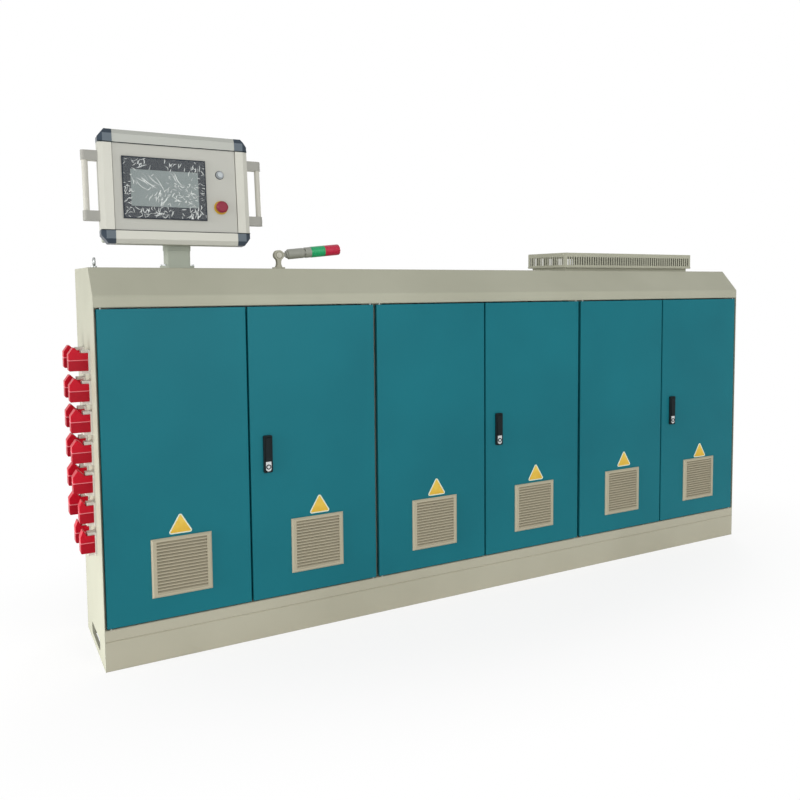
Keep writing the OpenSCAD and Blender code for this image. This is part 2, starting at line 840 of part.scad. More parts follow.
module start_button() {
    cap_proud = 3.5;
    color(die_cast) at_head() translate([button_x - panel_w / 2, face_y - ring_proud, start_z])
        rotate([90, 0, 0]) translate([0, 0, -lip_d]) cylinder(h = lip_d + cap_proud, r = stem_r - run_clear);
}

// Signal lamp: a foot with two cheeks, and a folding arm with the lamp on it
cheek_gap = 14;
cheek_t = 5;
eye_r = 19;
lamp_pin_r = 4;
lamp_start = 36;
base_l = 66;
slot_band = 6;
neck_l = 25;
lens_z = lamp_start + base_l + slot_band + neck_l;
lens_d = lamp_d - 2;
lamp_y = column_y;

module at_lamp() {
    cabinet_frame() translate([lamp_x, lamp_y, roof_z + lamp_pivot_h]) children();
}

module lamp_foot() {
    foot_w = 66;
    foot_d = 50;
    foot_t = 10;
    leg_w = 34;
    waist_w = 18;
    waist_share = 0.7;
    waist_z = -eye_r * waist_share;
    washer_r = 11;
    washer_t = 2;
    pin_proud = 5;
    leg_z = foot_t - lamp_pivot_h;
    color(lamp_grey) at_lamp() {
        translate([-foot_w / 2, -foot_d / 2, -lamp_pivot_h]) cube([foot_w, foot_d, foot_t]);
        for (side = [0, 1]) mirror([0, side, 0]) {
            along_y(cheek_gap / 2, cheek_gap / 2 + cheek_t) {
                circle(r = eye_r);
                polygon([
                    [-leg_w / 2, leg_z], [leg_w / 2, leg_z], [waist_w / 2, waist_z], [-waist_w / 2, waist_z]
                ]);
            }
            along_y(cheek_gap / 2 + cheek_t, cheek_gap / 2 + cheek_t + washer_t) circle(r = washer_r);
        }
        rotate([90, 0, 0]) cylinder(h = cheek_gap + 2 * (cheek_t + pin_proud), r = lamp_pin_r, center = true);
    }
}

module lamp_arm() {
    tongue_play = 1;
    tongue = cheek_gap - tongue_play;
    tongue_in = 3;
    root_h = 28;
    tip_h = 12;
    seat_t = 6;
    seat_in = 6;
    color(lamp_grey) at_lamp() rotate([0, -lamp_tilt, 0]) difference() {
        union() {
            along_y(-tongue / 2, tongue / 2) {
                circle(r = eye_r - tongue_in);
                polygon([
                    [0, -root_h / 2], [lamp_start - seat_t / 2, -tip_h / 2],
                    [lamp_start - seat_t / 2, tip_h / 2], [0, root_h / 2]
                ]);
            }
            translate([lamp_start - seat_t, 0, 0]) rotate([0, 90, 0])
                cylinder(h = seat_t, d = lamp_d - 2 * seat_in);
        }
        rotate([90, 0, 0]) cylinder(h = cheek_gap, r = lamp_pin_r + run_clear, center = true);
    }
}

module along_lamp(from) {
    at_lamp() rotate([0, 90 - lamp_tilt, 0]) translate([0, 0, from]) children();
}

module lamp_body() {
    ease = 3;
    slot_n = 6;
    slot_w = 12;
    slot_in = 5;
    step = 1;
    r = lamp_d / 2;
    neck_z = base_l + slot_band;
    color(lamp_grey) along_lamp(lamp_start) difference() {
        rotate_extrude() polygon([
            [0, 0], [r - ease, 0], [r, ease], [r, base_l - step], [r - step, base_l], [r - step, neck_z],
            [r - 2 * step, neck_z], [r - 2 * step, neck_z + neck_l], [0, neck_z + neck_l]
        ]);
        for (i = [0 : slot_n - 1]) rotate(i * 360 / slot_n)
            translate([r - slot_in, -slot_w / 2, base_l]) cube([lamp_d, slot_w, slot_band]);
    }
}

module lamp_lens_green() {
    color("#23a069") along_lamp(lens_z) cylinder(h = lens_l, d = lens_d);
}

module lamp_lens_red() {
    dome_r = 8;
    dome_l = lens_l + dome_r;
    color("#c82846") along_lamp(lens_z + lens_l) rotate_extrude() {
        square([lens_d / 2, lens_l]);
        square([lens_d / 2 - dome_r, dome_l]);
        translate([lens_d / 2 - dome_r, lens_l]) circle(r = dome_r);
    }
}

plinth_front();
plinth_rear();
plinth_ends();
bottom_rail();
floor_plates();
side_panels();
rear_panels();
posts();
canopy();
mounting_plates();
hinge_pins();
vent_curb();
vent_cowl();
lifting_eye();
connector_bases();
connector_hoods();
column();
lamp_foot();
door_leaf(1);  // door_leaf_1
door_leaf(2);  // door_leaf_2
door_leaf(3);  // door_leaf_3
door_leaf(4);  // door_leaf_4
door_leaf(5);  // door_leaf_5
door_leaf(6);  // door_leaf_6
door_grille(1);  // door_grille_1
door_grille(2);  // door_grille_2
door_grille(3);  // door_grille_3
door_grille(4);  // door_grille_4
door_grille(5);  // door_grille_5
door_grille(6);  // door_grille_6
handle_dish(2);  // handle_dish_2
handle_dish(4);  // handle_dish_4
handle_dish(6);  // handle_dish_6
handle_lever(2);  // handle_lever_2
handle_lever(4);  // handle_lever_4
handle_lever(6);  // handle_lever_6
handle_lock(2);  // handle_lock_2
handle_lock(4);  // handle_lock_4
handle_lock(6);  // handle_lock_6
hmi_collar();
hmi_housing();
hmi_rails();
hmi_corners();
hmi_front_panel();
hmi_screen();
hmi_handles();
hmi_start_ring();
hmi_stop_collar();
estop_head();
start_button();
lamp_arm();
lamp_body();
lamp_lens_green();
lamp_lens_red();
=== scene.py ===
"""Looks of the control cabinet of a plastic extrusion line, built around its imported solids."""
import math

import bmesh
import bpy
import numpy as np
from mathutils import Matrix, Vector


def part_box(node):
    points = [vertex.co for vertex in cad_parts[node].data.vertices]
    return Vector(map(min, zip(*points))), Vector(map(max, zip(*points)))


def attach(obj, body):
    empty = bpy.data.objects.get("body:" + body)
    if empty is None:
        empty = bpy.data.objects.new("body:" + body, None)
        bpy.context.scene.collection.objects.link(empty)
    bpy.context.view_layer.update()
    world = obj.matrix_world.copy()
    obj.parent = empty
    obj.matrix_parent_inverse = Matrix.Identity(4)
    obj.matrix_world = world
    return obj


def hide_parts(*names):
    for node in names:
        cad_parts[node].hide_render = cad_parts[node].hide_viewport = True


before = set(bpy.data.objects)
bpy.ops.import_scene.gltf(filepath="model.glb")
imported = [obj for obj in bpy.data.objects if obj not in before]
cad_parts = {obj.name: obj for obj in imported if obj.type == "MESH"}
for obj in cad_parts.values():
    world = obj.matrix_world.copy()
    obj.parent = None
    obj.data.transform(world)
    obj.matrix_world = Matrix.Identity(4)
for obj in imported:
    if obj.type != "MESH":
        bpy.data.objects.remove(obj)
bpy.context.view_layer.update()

# Plinth, rail, side and rear panels, posts and roof sheet. They are 2 mm steel sheet, folded and
# spot welded, then powder coated in pebble grey on all sides, as is the vent cowl. The plinth and
# the rail are a shade warmer, and the operator panel's bought-in column and housing are cooler.
PEBBLE_GREY = "#b2b2a0"
PEBBLE_SHADE = "#aaaa98"
WARM_GREY = "#bab6a3"
WARM_SHADE = "#b2ae9b"
SILVER_GREY = "#b8beb1"
SILVER_SHADE = "#b1b7aa"
GREY_DETAIL = 3.0
GREY_DULL = 0.5
COAT_SHINE = 0.15
TONE_PATCH = 0.45
TONE_BAND = (0.35, 0.65)
ORANGE_PEEL = 0.0016
PEEL_LIFT = 0.0004


def linear(code):
    """The linear colour of an sRGB hex code: a channel c becomes ((c + 0.055) / 1.055) ** 2.4, or
    c / 12.92 where it is below 0.04045."""
    c = np.array([int(code[i:i + 2], 16) for i in (1, 3, 5)]) / 255
    return (*np.where(c > 0.04045, ((c + 0.055) / 1.055) ** 2.4, c / 12.92).tolist(), 1.0)


def add_node(tree, kind, inputs=None, **settings):
    """Adds one node with its settings, and sets or links each of its inputs."""
    made = tree.nodes.new(kind)
    for name, value in settings.items():
        setattr(made, name, value)
    for socket, value in (inputs or {}).items():
        if isinstance(value, bpy.types.NodeSocket):
            tree.links.new(value, made.inputs[socket])
        else:
            made.inputs[socket].default_value = value
    return made


def blank_material(name):
    """A material with an empty tree, and the Object coordinates of the piece that wears it."""
    material = bpy.data.materials.new(name)
    material.use_nodes = True
    material.node_tree.nodes.clear()
    place = add_node(material.node_tree, "ShaderNodeTexCoord").outputs["Object"]
    return material, material.node_tree, place


def close_material(tree, shader):
    """Links the finished shader to the material's output."""
    add_node(tree, "ShaderNodeOutputMaterial", {"Surface": shader.outputs[0]})


def wear(material, *names):
    """Puts a material on solids of the frame."""
    for name in names:
        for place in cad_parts[name].material_slots:
            place.material = material


def powder_coat(name, pale, deep, detail, dull):
    """A cured coat on steel: the tone runs from deep to pale with a noise over patches of the
    sheet, and a much finer noise is the height of the peel."""
    coat, tree, place = blank_material(f"powder_coated_steel_{name}")
    patch = add_node(tree, "ShaderNodeTexNoise",
                     {"Vector": place, "Scale": 1 / TONE_PATCH, "Detail": detail})
    drift = add_node(tree, "ShaderNodeMapRange",
                     {0: patch.outputs["Fac"], 1: TONE_BAND[0], 2: TONE_BAND[1]})
    tone = add_node(tree, "ShaderNodeMix",
                    {0: drift.outputs[0], 6: linear(deep), 7: linear(pale)}, data_type="RGBA")
    peel = add_node(tree, "ShaderNodeTexNoise",
                    {"Vector": place, "Scale": 1 / ORANGE_PEEL, "Detail": 1.0})
    bump = add_node(tree, "ShaderNodeBump",
                    {"Height": peel.outputs["Fac"], "Strength": 0.05, "Distance": PEEL_LIFT})
    close_material(tree, add_node(tree, "ShaderNodeBsdfPrincipled", {
        "Base Color": tone.outputs[2], "Roughness": dull, "Specular IOR Level": COAT_SHINE,
        "Normal": bump.outputs[0]}))
    return coat


# Powder coat cures as a film with a fine orange peel, so highlights are soft and slightly broken,
# and the tone drifts a little over a large sheet. The peel is drawn coarser than real to show.
for name, pale, deep, pieces in (
        ("pebble_grey", PEBBLE_GREY, PEBBLE_SHADE,
         ("plinth_ends", "side_panels", "rear_panels", "posts", "canopy", "vent_curb",
          "vent_cowl")),
        ("pebble_grey_warm", WARM_GREY, WARM_SHADE,
         ("plinth_front", "plinth_rear", "bottom_rail")),
        ("silver_grey", SILVER_GREY, SILVER_SHADE, ("column", "hmi_collar", "hmi_housing"))):
    wear(powder_coat(name, pale, deep, GREY_DETAIL, GREY_DULL), *pieces)

# Floor plates, mounting plates and hinge pins inside the bays. They are galvanised or zinc plated
# steel, left bare: the plates are screwed to the posts, and the pins stand in the rail and fascia.
ZINC_LIGHT = "#b9bcbc"
ZINC_DARK = "#979b9c"
SPANGLE = 0.012
# Hot-dip zinc freezes in flat crystals a centimetre across, each with its own tone and gloss.
zinc, tree, place = blank_material("galvanised_steel")
crystal = add_node(tree, "ShaderNodeTexVoronoi", {"Vector": place, "Scale": 1 / SPANGLE})
tone = add_node(tree, "ShaderNodeMix", {
    0: crystal.outputs["Color"], 6: linear(ZINC_DARK), 7: linear(ZINC_LIGHT)}, data_type="RGBA")
dull = add_node(tree, "ShaderNodeMapRange", {0: crystal.outputs["Color"], 3: 0.3, 4: 0.5})
close_material(tree, add_node(tree, "ShaderNodeBsdfPrincipled", {
    "Base Color": tone.outputs[2], "Metallic": 1.0, "Roughness": dull.outputs[0]}))
wear(zinc, "floor_plates", "mounting_plates", "hinge_pins")

# Screws of the rear panels. Zinc plated pan heads sit in two upright rows on each panel, and go
# through it into the rear posts.
SCREW_HEAD = np.array([(0.0052, 0.0), (0.0052, 0.0009), (0.0045, 0.0021), (0.0030, 0.0028),
                       (0.0016, 0.0030), (0.0012, 0.0018), (0.0002, 0.0018)])
SCREW_STEPS = 12
SCREW_ROWS = 6
SCREW_MARGIN = 0.06
BAYS = 3
BAY_WIDTH = 1.0
POST_MIDDLE = 0.023
BOLT_ZINC = "#a9adae"
PLATING_BLOTCH = 0.004


def skin(name, grids, body, around=False, ring=False):
    """One mesh from grids of points, shaped grid, row, column, axis: quads join neighbours. Around
    joins the last column to the first, ring the last row to the first, and a tube's open ends are
    closed."""
    index = np.arange(grids[..., 0].size).reshape(grids.shape[:3])
    closed = around and not ring
    ends = index[:, [0, -1]].reshape(-1, grids.shape[2]).tolist() if closed else []
    if around:
        index = np.concatenate([index, index[:, :, :1]], axis=2)
    if ring:
        index = np.concatenate([index, index[:, :1]], axis=1)
    quads = np.stack([index[:, :-1, :-1], index[:, :-1, 1:], index[:, 1:, 1:], index[:, 1:, :-1]],
                     axis=-1)
    mesh = bpy.data.meshes.new(name)
    mesh.from_pydata(grids.reshape(-1, 3), [], quads.reshape(-1, 4).tolist() + ends)
    if around:
        shell = bmesh.new()
        shell.from_mesh(mesh)
        bmesh.ops.recalc_face_normals(shell, faces=shell.faces)
        shell.to_mesh(mesh)
        shell.free()
    piece = bpy.data.objects.new(name, mesh)
    bpy.context.scene.collection.objects.link(piece)
    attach(piece, body)
    return piece


def turned(name, middles, out, profile, body, ring=False, steps=24):
    """Heads or rings turned about one direction at each middle: a row of the profile is a radius
    and a distance along the direction, and it is carried round the full circle."""
    out = np.asarray(out, float) / np.linalg.norm(out)
    side = np.cross(out, (1, 0, 0) if abs(out[0]) < 0.9 else (0, 1, 0))
    side /= np.linalg.norm(side)
    turn = np.linspace(0, 2 * math.pi, steps, endpoint=False)
    spoke = np.cos(turn)[:, None] * side + np.sin(turn)[:, None] * np.cross(out, side)
    loops = profile[:, :1, None] * spoke + profile[:, 1:, None] * out
    grids = np.asarray(middles, float)[:, None, None] + loops
    return skin(name, grids, body, around=True, ring=ring)


def uneven_gloss(name, colour, patch, detail, dull, finish):
    """A material of one colour: its roughness runs between two values with a noise over patches of
    a real size, and the finish gives the shader's other inputs."""
    material, tree, place = blank_material(name)
    blotch = add_node(tree, "ShaderNodeTexNoise",
                      {"Vector": place, "Scale": 1 / patch, "Detail": detail})
    rough = add_node(tree, "ShaderNodeMapRange",
                     {0: blotch.outputs["Fac"], 3: dull[0], 4: dull[1]})
    close_material(tree, add_node(tree, "ShaderNodeBsdfPrincipled", {
        "Base Color": linear(colour), "Roughness": rough.outputs[0], **finish}))
    return material


# Bright zinc plate on a cold-headed screw is a smooth metal with slight blotches.
screw_zinc = uneven_gloss("zinc_plated_cold_headed_steel", BOLT_ZINC, PLATING_BLOTCH, detail=3.0,
                          dull=(0.25, 0.42), finish={"Metallic": 1.0})
low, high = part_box("rear_panels")
bay_edges = (low[0] + BAY_WIDTH * np.arange(BAYS)[:, None]
             + np.array([POST_MIDDLE, BAY_WIDTH - POST_MIDDLE]))
heights = np.linspace(low[2] + SCREW_MARGIN, high[2] - SCREW_MARGIN, SCREW_ROWS)
across, up = np.meshgrid(bay_edges.ravel(), heights)
screw_feet = np.stack([across.ravel(), np.full(across.size, high[1]), up.ravel()], axis=-1)
rear_screws = turned("rear_panel_screws", screw_feet, (0, 1, 0), SCREW_HEAD, "root",
                     steps=SCREW_STEPS)
rear_screws.data.materials.append(screw_zinc)

# Doors. Six pans of folded steel sheet hang on the pins, the two of a bay closing against each
# other. They are coated in a satin teal that reflects little of the room.
DOOR_TEAL = "#13717d"
DOOR_SHADE = "#116b77"
DOOR_DETAIL = 2.0
DOOR_DULL = 0.45
DOORS = range(1, 7)
# The same cured film as on the grey sheets, but satin, so only a weak and wide highlight shows.
wear(powder_coat("teal", DOOR_TEAL, DOOR_SHADE, DOOR_DETAIL, DOOR_DULL),
     *[f"door_leaf_{n}" for n in DOORS])

# Filter grilles. Each is one moulding of beige ABS that snaps into the cut-out near the foot of a
# door, with a grey fibre mat held in its tray behind the slats.
GRILLE_BEIGE = "#b5ad96"
# The mat's colours, drawn darker with painted shade from the slats.
MAT_GREY_SHADED = "#38352c"
MAT_DARK_SHADED = "#211f1a"
MOULD_GRAIN = 0.0012
MAT_FIBRE = 0.004
MAT_BACK = 0.009
MAT_LOFT = 0.002
MAT_WAVES = ((31, 3), (-2, 27))
MAT_SIDES = (0.086, 0.914)
MAT_ENDS = (0.1, 0.944)
MAT_STEPS = 40
# Moulded ABS is matt with a fine spark-eroded grain, and its edges stay crisp.
grille_abs, tree, place = blank_material("moulded_abs_beige")
grain = add_node(tree, "ShaderNodeTexNoise",
                 {"Vector": place, "Scale": 1 / MOULD_GRAIN, "Detail": 2.0})
bump = add_node(tree, "ShaderNodeBump",
                {"Height": grain.outputs["Fac"], "Strength": 0.15, "Distance": 0.0003})
dull = add_node(tree, "ShaderNodeMapRange", {0: grain.outputs["Fac"], 3: 0.5, 4: 0.65})
close_material(tree, add_node(tree, "ShaderNodeBsdfPrincipled", {
    "Base Color": linear(GRILLE_BEIGE), "Roughness": dull.outputs[0], "Specular IOR Level": 0.2,
    "Normal": bump.outputs[0]}))
wear(grille_abs, *[f"door_grille_{n}" for n in DOORS])
# Bonded polyester fibres take light softly and show a loose, cloudy grain. Their grey is drawn
# darker with painted shade from the slats in front of the mat.
mat_fibre, tree, place = blank_material("bonded_fibre_filter_mat")
cloud = add_node(tree, "ShaderNodeTexNoise",
                 {"Vector": place, "Scale": 1 / MAT_FIBRE, "Detail": 6.0, "Distortion": 1.5})
tone = add_node(tree, "ShaderNodeMix", {
    0: cloud.outputs["Fac"], 6: linear(MAT_DARK_SHADED), 7: linear(MAT_GREY_SHADED)}, data_type="RGBA")
close_material(tree, add_node(tree, "ShaderNodeBsdfPrincipled", {
    "Base Color": tone.outputs[2], "Roughness": 0.95, "Specular IOR Level": 0.1}))
# A mat's loft is the product of two slanting waves, with the second shifted from door to door.
u, v = np.meshgrid(np.linspace(*MAT_SIDES, MAT_STEPS), np.linspace(*MAT_ENDS, MAT_STEPS))
(first_u, first_v), (second_u, second_v) = MAT_WAVES
for n in DOORS:
    low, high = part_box(f"door_grille_{n}")
    loft = MAT_LOFT * np.sin(first_u * u + first_v * v) * np.sin(second_v * v + second_u * u + n)
    mat = skin(f"filter_mat_{n}", np.stack([
        low[0] + u * (high[0] - low[0]), high[1] - MAT_BACK + loft,
        low[2] + v * (high[2] - low[2])], axis=-1)[None], f"door_{n}")
    mat.data.materials.append(mat_fibre)

# Yellow plates above the grilles. Each is a bare rounded triangle of embossed plastic with a pale
# rim, stuck to the door by hand a finger's width above the grille, so no two sit quite alike.
PLATE_YELLOW = "#ebc95a"
PLATE_AMBER = "#d9ab33"
PLATE_RIM = "#dfe4cf"
PLATE_SIDE = 0.087
PLATE_ROUND = 0.007
PLATE_POINTS = 9
PLATE_UP = (0.008, 0.008, 0.008, 0.009, 0.013, 0.003)
PLATE_ASIDE = (-0.002, 0.010, 0.010, 0.009, 0.011, 0.009)
PLATE_FOOT = 0.435
# How far a painted sheen pales the yellow from the foot of a plate to its apex.
PLATE_SHEEN_RANGE = (-0.3, 0.6)
RIM_INSETS = np.array([0, 0.0003, 0.0007, 0.0034, 0.0040, 0.0042])
RIM_LIFTS = np.array([0, 0.0008, 0.0011, 0.0011, 0.0007, 0.0006])
PRINT_CLOUD = 0.025


def rounded_triangle(insets, points):
    """Points round an upright triangle with equal sides and rounded corners, one row for each
    inset: a corner is an arc of 120 degrees about a centre that stands in from it, and straight
    runs join the arcs."""
    turn = np.radians(np.array([-150, -30, 90]))
    reach = PLATE_SIDE / math.sqrt(3) - 2 * PLATE_ROUND
    angles = (turn[:, None] + np.linspace(-math.pi / 3, math.pi / 3, points)).ravel()
    centres = np.repeat(reach * np.stack([np.cos(turn), np.sin(turn)], axis=-1), points, axis=0)
    arcs = np.stack([np.cos(angles), np.sin(angles)], axis=-1)
    return centres + (PLATE_ROUND - insets)[:, None, None] * arcs


# Rigid PVC is smooth and fairly glossy. Its printed yellow is a little uneven, and a painted sheen
# makes it paler upward.
plate_yellow, tree, place = blank_material("printed_rigid_pvc_yellow")
cloud = add_node(tree, "ShaderNodeTexNoise",
                 {"Vector": place, "Scale": 1 / PRINT_CLOUD, "Detail": 2.0})
height = add_node(tree, "ShaderNodeSeparateXYZ", {0: place}).outputs["Z"]
sheen_rise = add_node(tree, "ShaderNodeMapRange", {
    0: height, 1: PLATE_FOOT, 2: PLATE_FOOT + PLATE_SIDE, 3: PLATE_SHEEN_RANGE[0], 4: PLATE_SHEEN_RANGE[1]})
pale = add_node(tree, "ShaderNodeMath", {0: cloud.outputs["Fac"], 1: sheen_rise.outputs[0]},
                use_clamp=True)
tone = add_node(tree, "ShaderNodeMix", {
    0: pale.outputs[0], 6: linear(PLATE_AMBER), 7: linear(PLATE_YELLOW)}, data_type="RGBA")
close_material(tree, add_node(tree, "ShaderNodeBsdfPrincipled", {
    "Base Color": tone.outputs[2], "Roughness": 0.35, "Specular IOR Level": 0.2}))
# The rim is the bare sheet, pressed up, and keeps an even and slightly softer gloss.
plate_rim = uneven_gloss("embossed_rigid_pvc_pale", PLATE_RIM, PRINT_CLOUD, detail=2.0,
                         dull=(0.3, 0.45), finish={"Specular IOR Level": 0.2})
rings = rounded_triangle(RIM_INSETS, PLATE_POINTS)
for n in DOORS:
    low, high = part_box(f"door_grille_{n}")
    door_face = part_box(f"door_leaf_{n}")[0][1]
    across = (low[0] + high[0]) / 2 + PLATE_ASIDE[n - 1] + rings[..., 0]
    up = high[2] + PLATE_UP[n - 1] + PLATE_SIDE / math.sqrt(12) + rings[..., 1]
    deep = np.broadcast_to(door_face - RIM_LIFTS[:, None], across.shape)
    plate = skin(f"triangle_plate_{n}", np.stack([across, deep, up], axis=-1)[None], f"door_{n}",
                 around=True)
    plate.data.materials.append(plate_rim)
    plate.data.materials.append(plate_yellow)
    plate.data.polygons[-1].material_index = 1

# Door handles. A dish and a lever of black glass-filled nylon, with a chromed lock plate and barrel
# at the foot and a dark rubber ring round the barrel, screwed through the door from behind.
NYLON_BLACK = "#182224"
NYLON_DARK = "#101718"
CHROME = "#c8cbcb"
KEY_SCUFF = 0.003
RUBBER = "#20282a"
HANDLES = (2, 4, 6)
LOCK_RING = np.array([(0.0056, 0.0), (0.0056, 0.0012), (0.0061, 0.0016), (0.0086, 0.0016),
                      (0.0092, 0.0011), (0.0092, 0.0)])
BARREL_UP = 0.016
BARREL_PROUD = 0.001


def grained(name, pale, deep, grain, detail, bump, finish):
    """A material with a grain of a real size: one noise runs the tone from deep to pale and is also
    the height of the bump, given as its strength and its reach in metres."""
    material, tree, place = blank_material(name)
    grit = add_node(tree, "ShaderNodeTexNoise",
                    {"Vector": place, "Scale": 1 / grain, "Detail": detail})
    pits = add_node(tree, "ShaderNodeBump",
                    {"Height": grit.outputs["Fac"], "Strength": bump[0], "Distance": bump[1]})
    tone = add_node(tree, "ShaderNodeMix", {
        0: grit.outputs["Fac"], 6: linear(deep), 7: linear(pale)}, data_type="RGBA")
    close_material(tree, add_node(tree, "ShaderNodeBsdfPrincipled", {
        "Base Color": tone.outputs[2], "Normal": pits.outputs[0], **finish}))
    return material


# Glass-filled nylon shows a faint fibre grain and a soft grey sheen, not a clear reflection.
handle_nylon = grained("moulded_glass_filled_nylon_black", NYLON_BLACK, NYLON_DARK, MOULD_GRAIN,
                       detail=3.0, bump=(0.2, 0.0003),
                       finish={"Roughness": 0.5, "Specular IOR Level": 0.12})
wear(handle_nylon, *[f"handle_{part}_{n}" for part in ("dish", "lever") for n in HANDLES])
# Satin chrome on die-cast zinc is a clear metal with hairline scuffs from keys.
chrome = uneven_gloss("satin_chromed_die_cast_zinc", CHROME, KEY_SCUFF, detail=4.0,
                      dull=(0.2, 0.36), finish={"Metallic": 1.0})
wear(chrome, *[f"handle_lock_{n}" for n in HANDLES])
# Rubber takes almost no highlight, and only its moulded grain breaks the black.
rubber = uneven_gloss("moulded_rubber_black", RUBBER, MOULD_GRAIN, detail=2.0, dull=(0.6, 0.8),
                      finish={"Specular IOR Level": 0.15})
for n in HANDLES:
    low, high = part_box(f"handle_lock_{n}")
    barrel = ((low[0] + high[0]) / 2, low[1] + BARREL_PROUD, low[2] + BARREL_UP)
    lock_ring = turned(f"lock_ring_{n}", [barrel], (0, -1, 0), LOCK_RING, f"door_{n}", ring=True)
    lock_ring.data.materials.append(rubber)

# Plug connectors on the left end. Red thermoplastic hoods stand on pale die-cast housings that are
# bolted to the side panel, each held by two sprung locking levers.
HOOD_RED = "#bd0d25"
HOOD_LOW = "#a60a20"
# Painted highlight on the crest of each rib.
HOOD_RIB_HIGHLIGHT = "#dd7b84"
DIE_CAST = "#dedad2"
DIE_CAST_DARK = "#cbc8c0"
CAST_PITS = 0.0025
RIB_FOOT = 1.0408
RIB_TALL = 0.003
HOOD_PITCH = 0.104
HOOD_SPLIT = 0.6 * HOOD_PITCH
HOOD_EASE = 0.0014
HOOD_EASE_STEPS = 2
HOOD_EDGE = math.radians(25)
WELD_REACH = 0.00005
# Hoods are glossy mouldings: the part below the rib is drawn a little deeper in colour, and a
# painted highlight makes the crest of the rib pale. Rows repeat at the pitch of the connectors.
hood_plastic, tree, place = blank_material("moulded_thermoplastic_red")
height = add_node(tree, "ShaderNodeSeparateXYZ", {0: place}).outputs["Z"]
above_rib = add_node(tree, "ShaderNodeMath", {0: height, 1: RIB_FOOT}, operation="SUBTRACT")
in_row = add_node(tree, "ShaderNodeMath", {0: above_rib.outputs[0], 1: HOOD_PITCH},
                  operation="FLOORED_MODULO")
below = add_node(tree, "ShaderNodeMath", {0: in_row.outputs[0], 1: HOOD_SPLIT},
                 operation="GREATER_THAN")
crest = add_node(tree, "ShaderNodeMath", {0: in_row.outputs[0], 1: RIB_TALL},
                 operation="LESS_THAN")
below_rib_tone = add_node(tree, "ShaderNodeMix", {
    0: below.outputs[0], 6: linear(HOOD_RED), 7: linear(HOOD_LOW)}, data_type="RGBA")
rib_highlight = add_node(tree, "ShaderNodeMix", {
    0: crest.outputs[0], 6: below_rib_tone.outputs[2], 7: linear(HOOD_RIB_HIGHLIGHT)}, data_type="RGBA")
close_material(tree, add_node(tree, "ShaderNodeBsdfPrincipled", {
    "Base Color": rib_highlight.outputs[2], "Roughness": 0.35, "Specular IOR Level": 0.12}))
wear(hood_plastic, "connector_hoods")
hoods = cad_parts["connector_hoods"]
hoods.modifiers.new("joined", "WELD").merge_threshold = WELD_REACH
eased = hoods.modifiers.new("eased", "BEVEL")
eased.width, eased.segments = HOOD_EASE, HOOD_EASE_STEPS
eased.limit_method, eased.angle_limit = "ANGLE", HOOD_EDGE
# Die-cast housings are shot-blasted and lacquered, so they are pale, matt and finely pitted.
cast_coat = grained("lacquered_die_cast_aluminium", DIE_CAST, DIE_CAST_DARK, CAST_PITS, detail=3.0,
                    bump=(0.25, 0.0004), finish={"Roughness": 0.5, "Specular IOR Level": 0.25})
wear(cast_coat, "connector_bases")

# Lifting eye at the front left corner of the roof. It is a ring forged in one with its collar, zinc
# plated, and screwed into the frame below the sheet.
FORGED = "#a4a7a6"
FORGE_LUMP = 0.006
# Forged and zinc plated steel keeps a slightly lumpy skin that breaks its reflections.
forged_eye, tree, place = blank_material("zinc_plated_forged_steel")
lump = add_node(tree, "ShaderNodeTexNoise",
                {"Vector": place, "Scale": 1 / FORGE_LUMP, "Detail": 3.0})
bump = add_node(tree, "ShaderNodeBump",
                {"Height": lump.outputs["Fac"], "Strength": 0.3, "Distance": 0.0008})
dull = add_node(tree, "ShaderNodeMapRange", {0: lump.outputs["Fac"], 3: 0.3, 4: 0.5})
close_material(tree, add_node(tree, "ShaderNodeBsdfPrincipled", {
    "Base Color": linear(FORGED), "Metallic": 1.0, "Roughness": dull.outputs[0],
    "Normal": bump.outputs[0]}))
wear(forged_eye, "lifting_eye")

# Bolts of the column's flange. Four socket heads of zinc plated steel, one near each corner, hold
# the column down on the roof.
BOLT_HEAD = np.array([(0.0048, 0.0), (0.0048, 0.0042), (0.0043, 0.0048), (0.0026, 0.0048),
                      (0.0024, 0.0022), (0.0002, 0.0022)])
BOLT_IN = 0.0085
FLANGE_TALL = 0.011
low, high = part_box("column")
bolt_feet = [(x, y, low[2] + FLANGE_TALL) for x in (low[0] + BOLT_IN, high[0] - BOLT_IN)
             for y in (low[1] + BOLT_IN, high[1] - BOLT_IN)]
column_bolts = turned("column_bolts", bolt_feet, (0, 0, 1), BOLT_HEAD, "root")
column_bolts.data.materials.append(screw_zinc)

# Operator panel. Extruded aluminium rails and moulded corner caps frame a front plate with a satin
# foil, and tubular grips on end blocks are screwed to both sides of it.
RAIL_PALE = "#cbcac0"
RAIL_DEEP = "#c1c1b7"
# Painted shade: the upper rail's colour is darker than the others.
RAIL_TOP_SHADE = "#b0b2ab"
TOP_RAIL_FOOT = 1.786
FOIL_PALE = "#c3c3bb"
FOIL_DEEP = "#bcbcb4"
BLOCK_PALE = "#a5a49d"
BLOCK_DEEP = "#9c9b94"
TUBE_PALE = "#c6c4ba"
TUBE_HALF = 0.087
ROW_SHIFT = np.array([-1.4665, -0.225, 0])
HEAD_PLACE = np.array([0.318, 0.187, 1.438]) + ROW_SHIFT
HEAD_LEAN = math.radians(4.5)
HEAD_SIZE = np.array([0.520, 0.398])
CAP_FRONT = "#68727a"
# The bevels' colour is the slate drawn darker with painted shade.
CAP_BEVEL_SHADE = "#3c4650"
CAP_TURN = (-0.955, -0.985)
BRUSH_WIDTH = 0.0008
BRUSH_LENGTH = 0.12
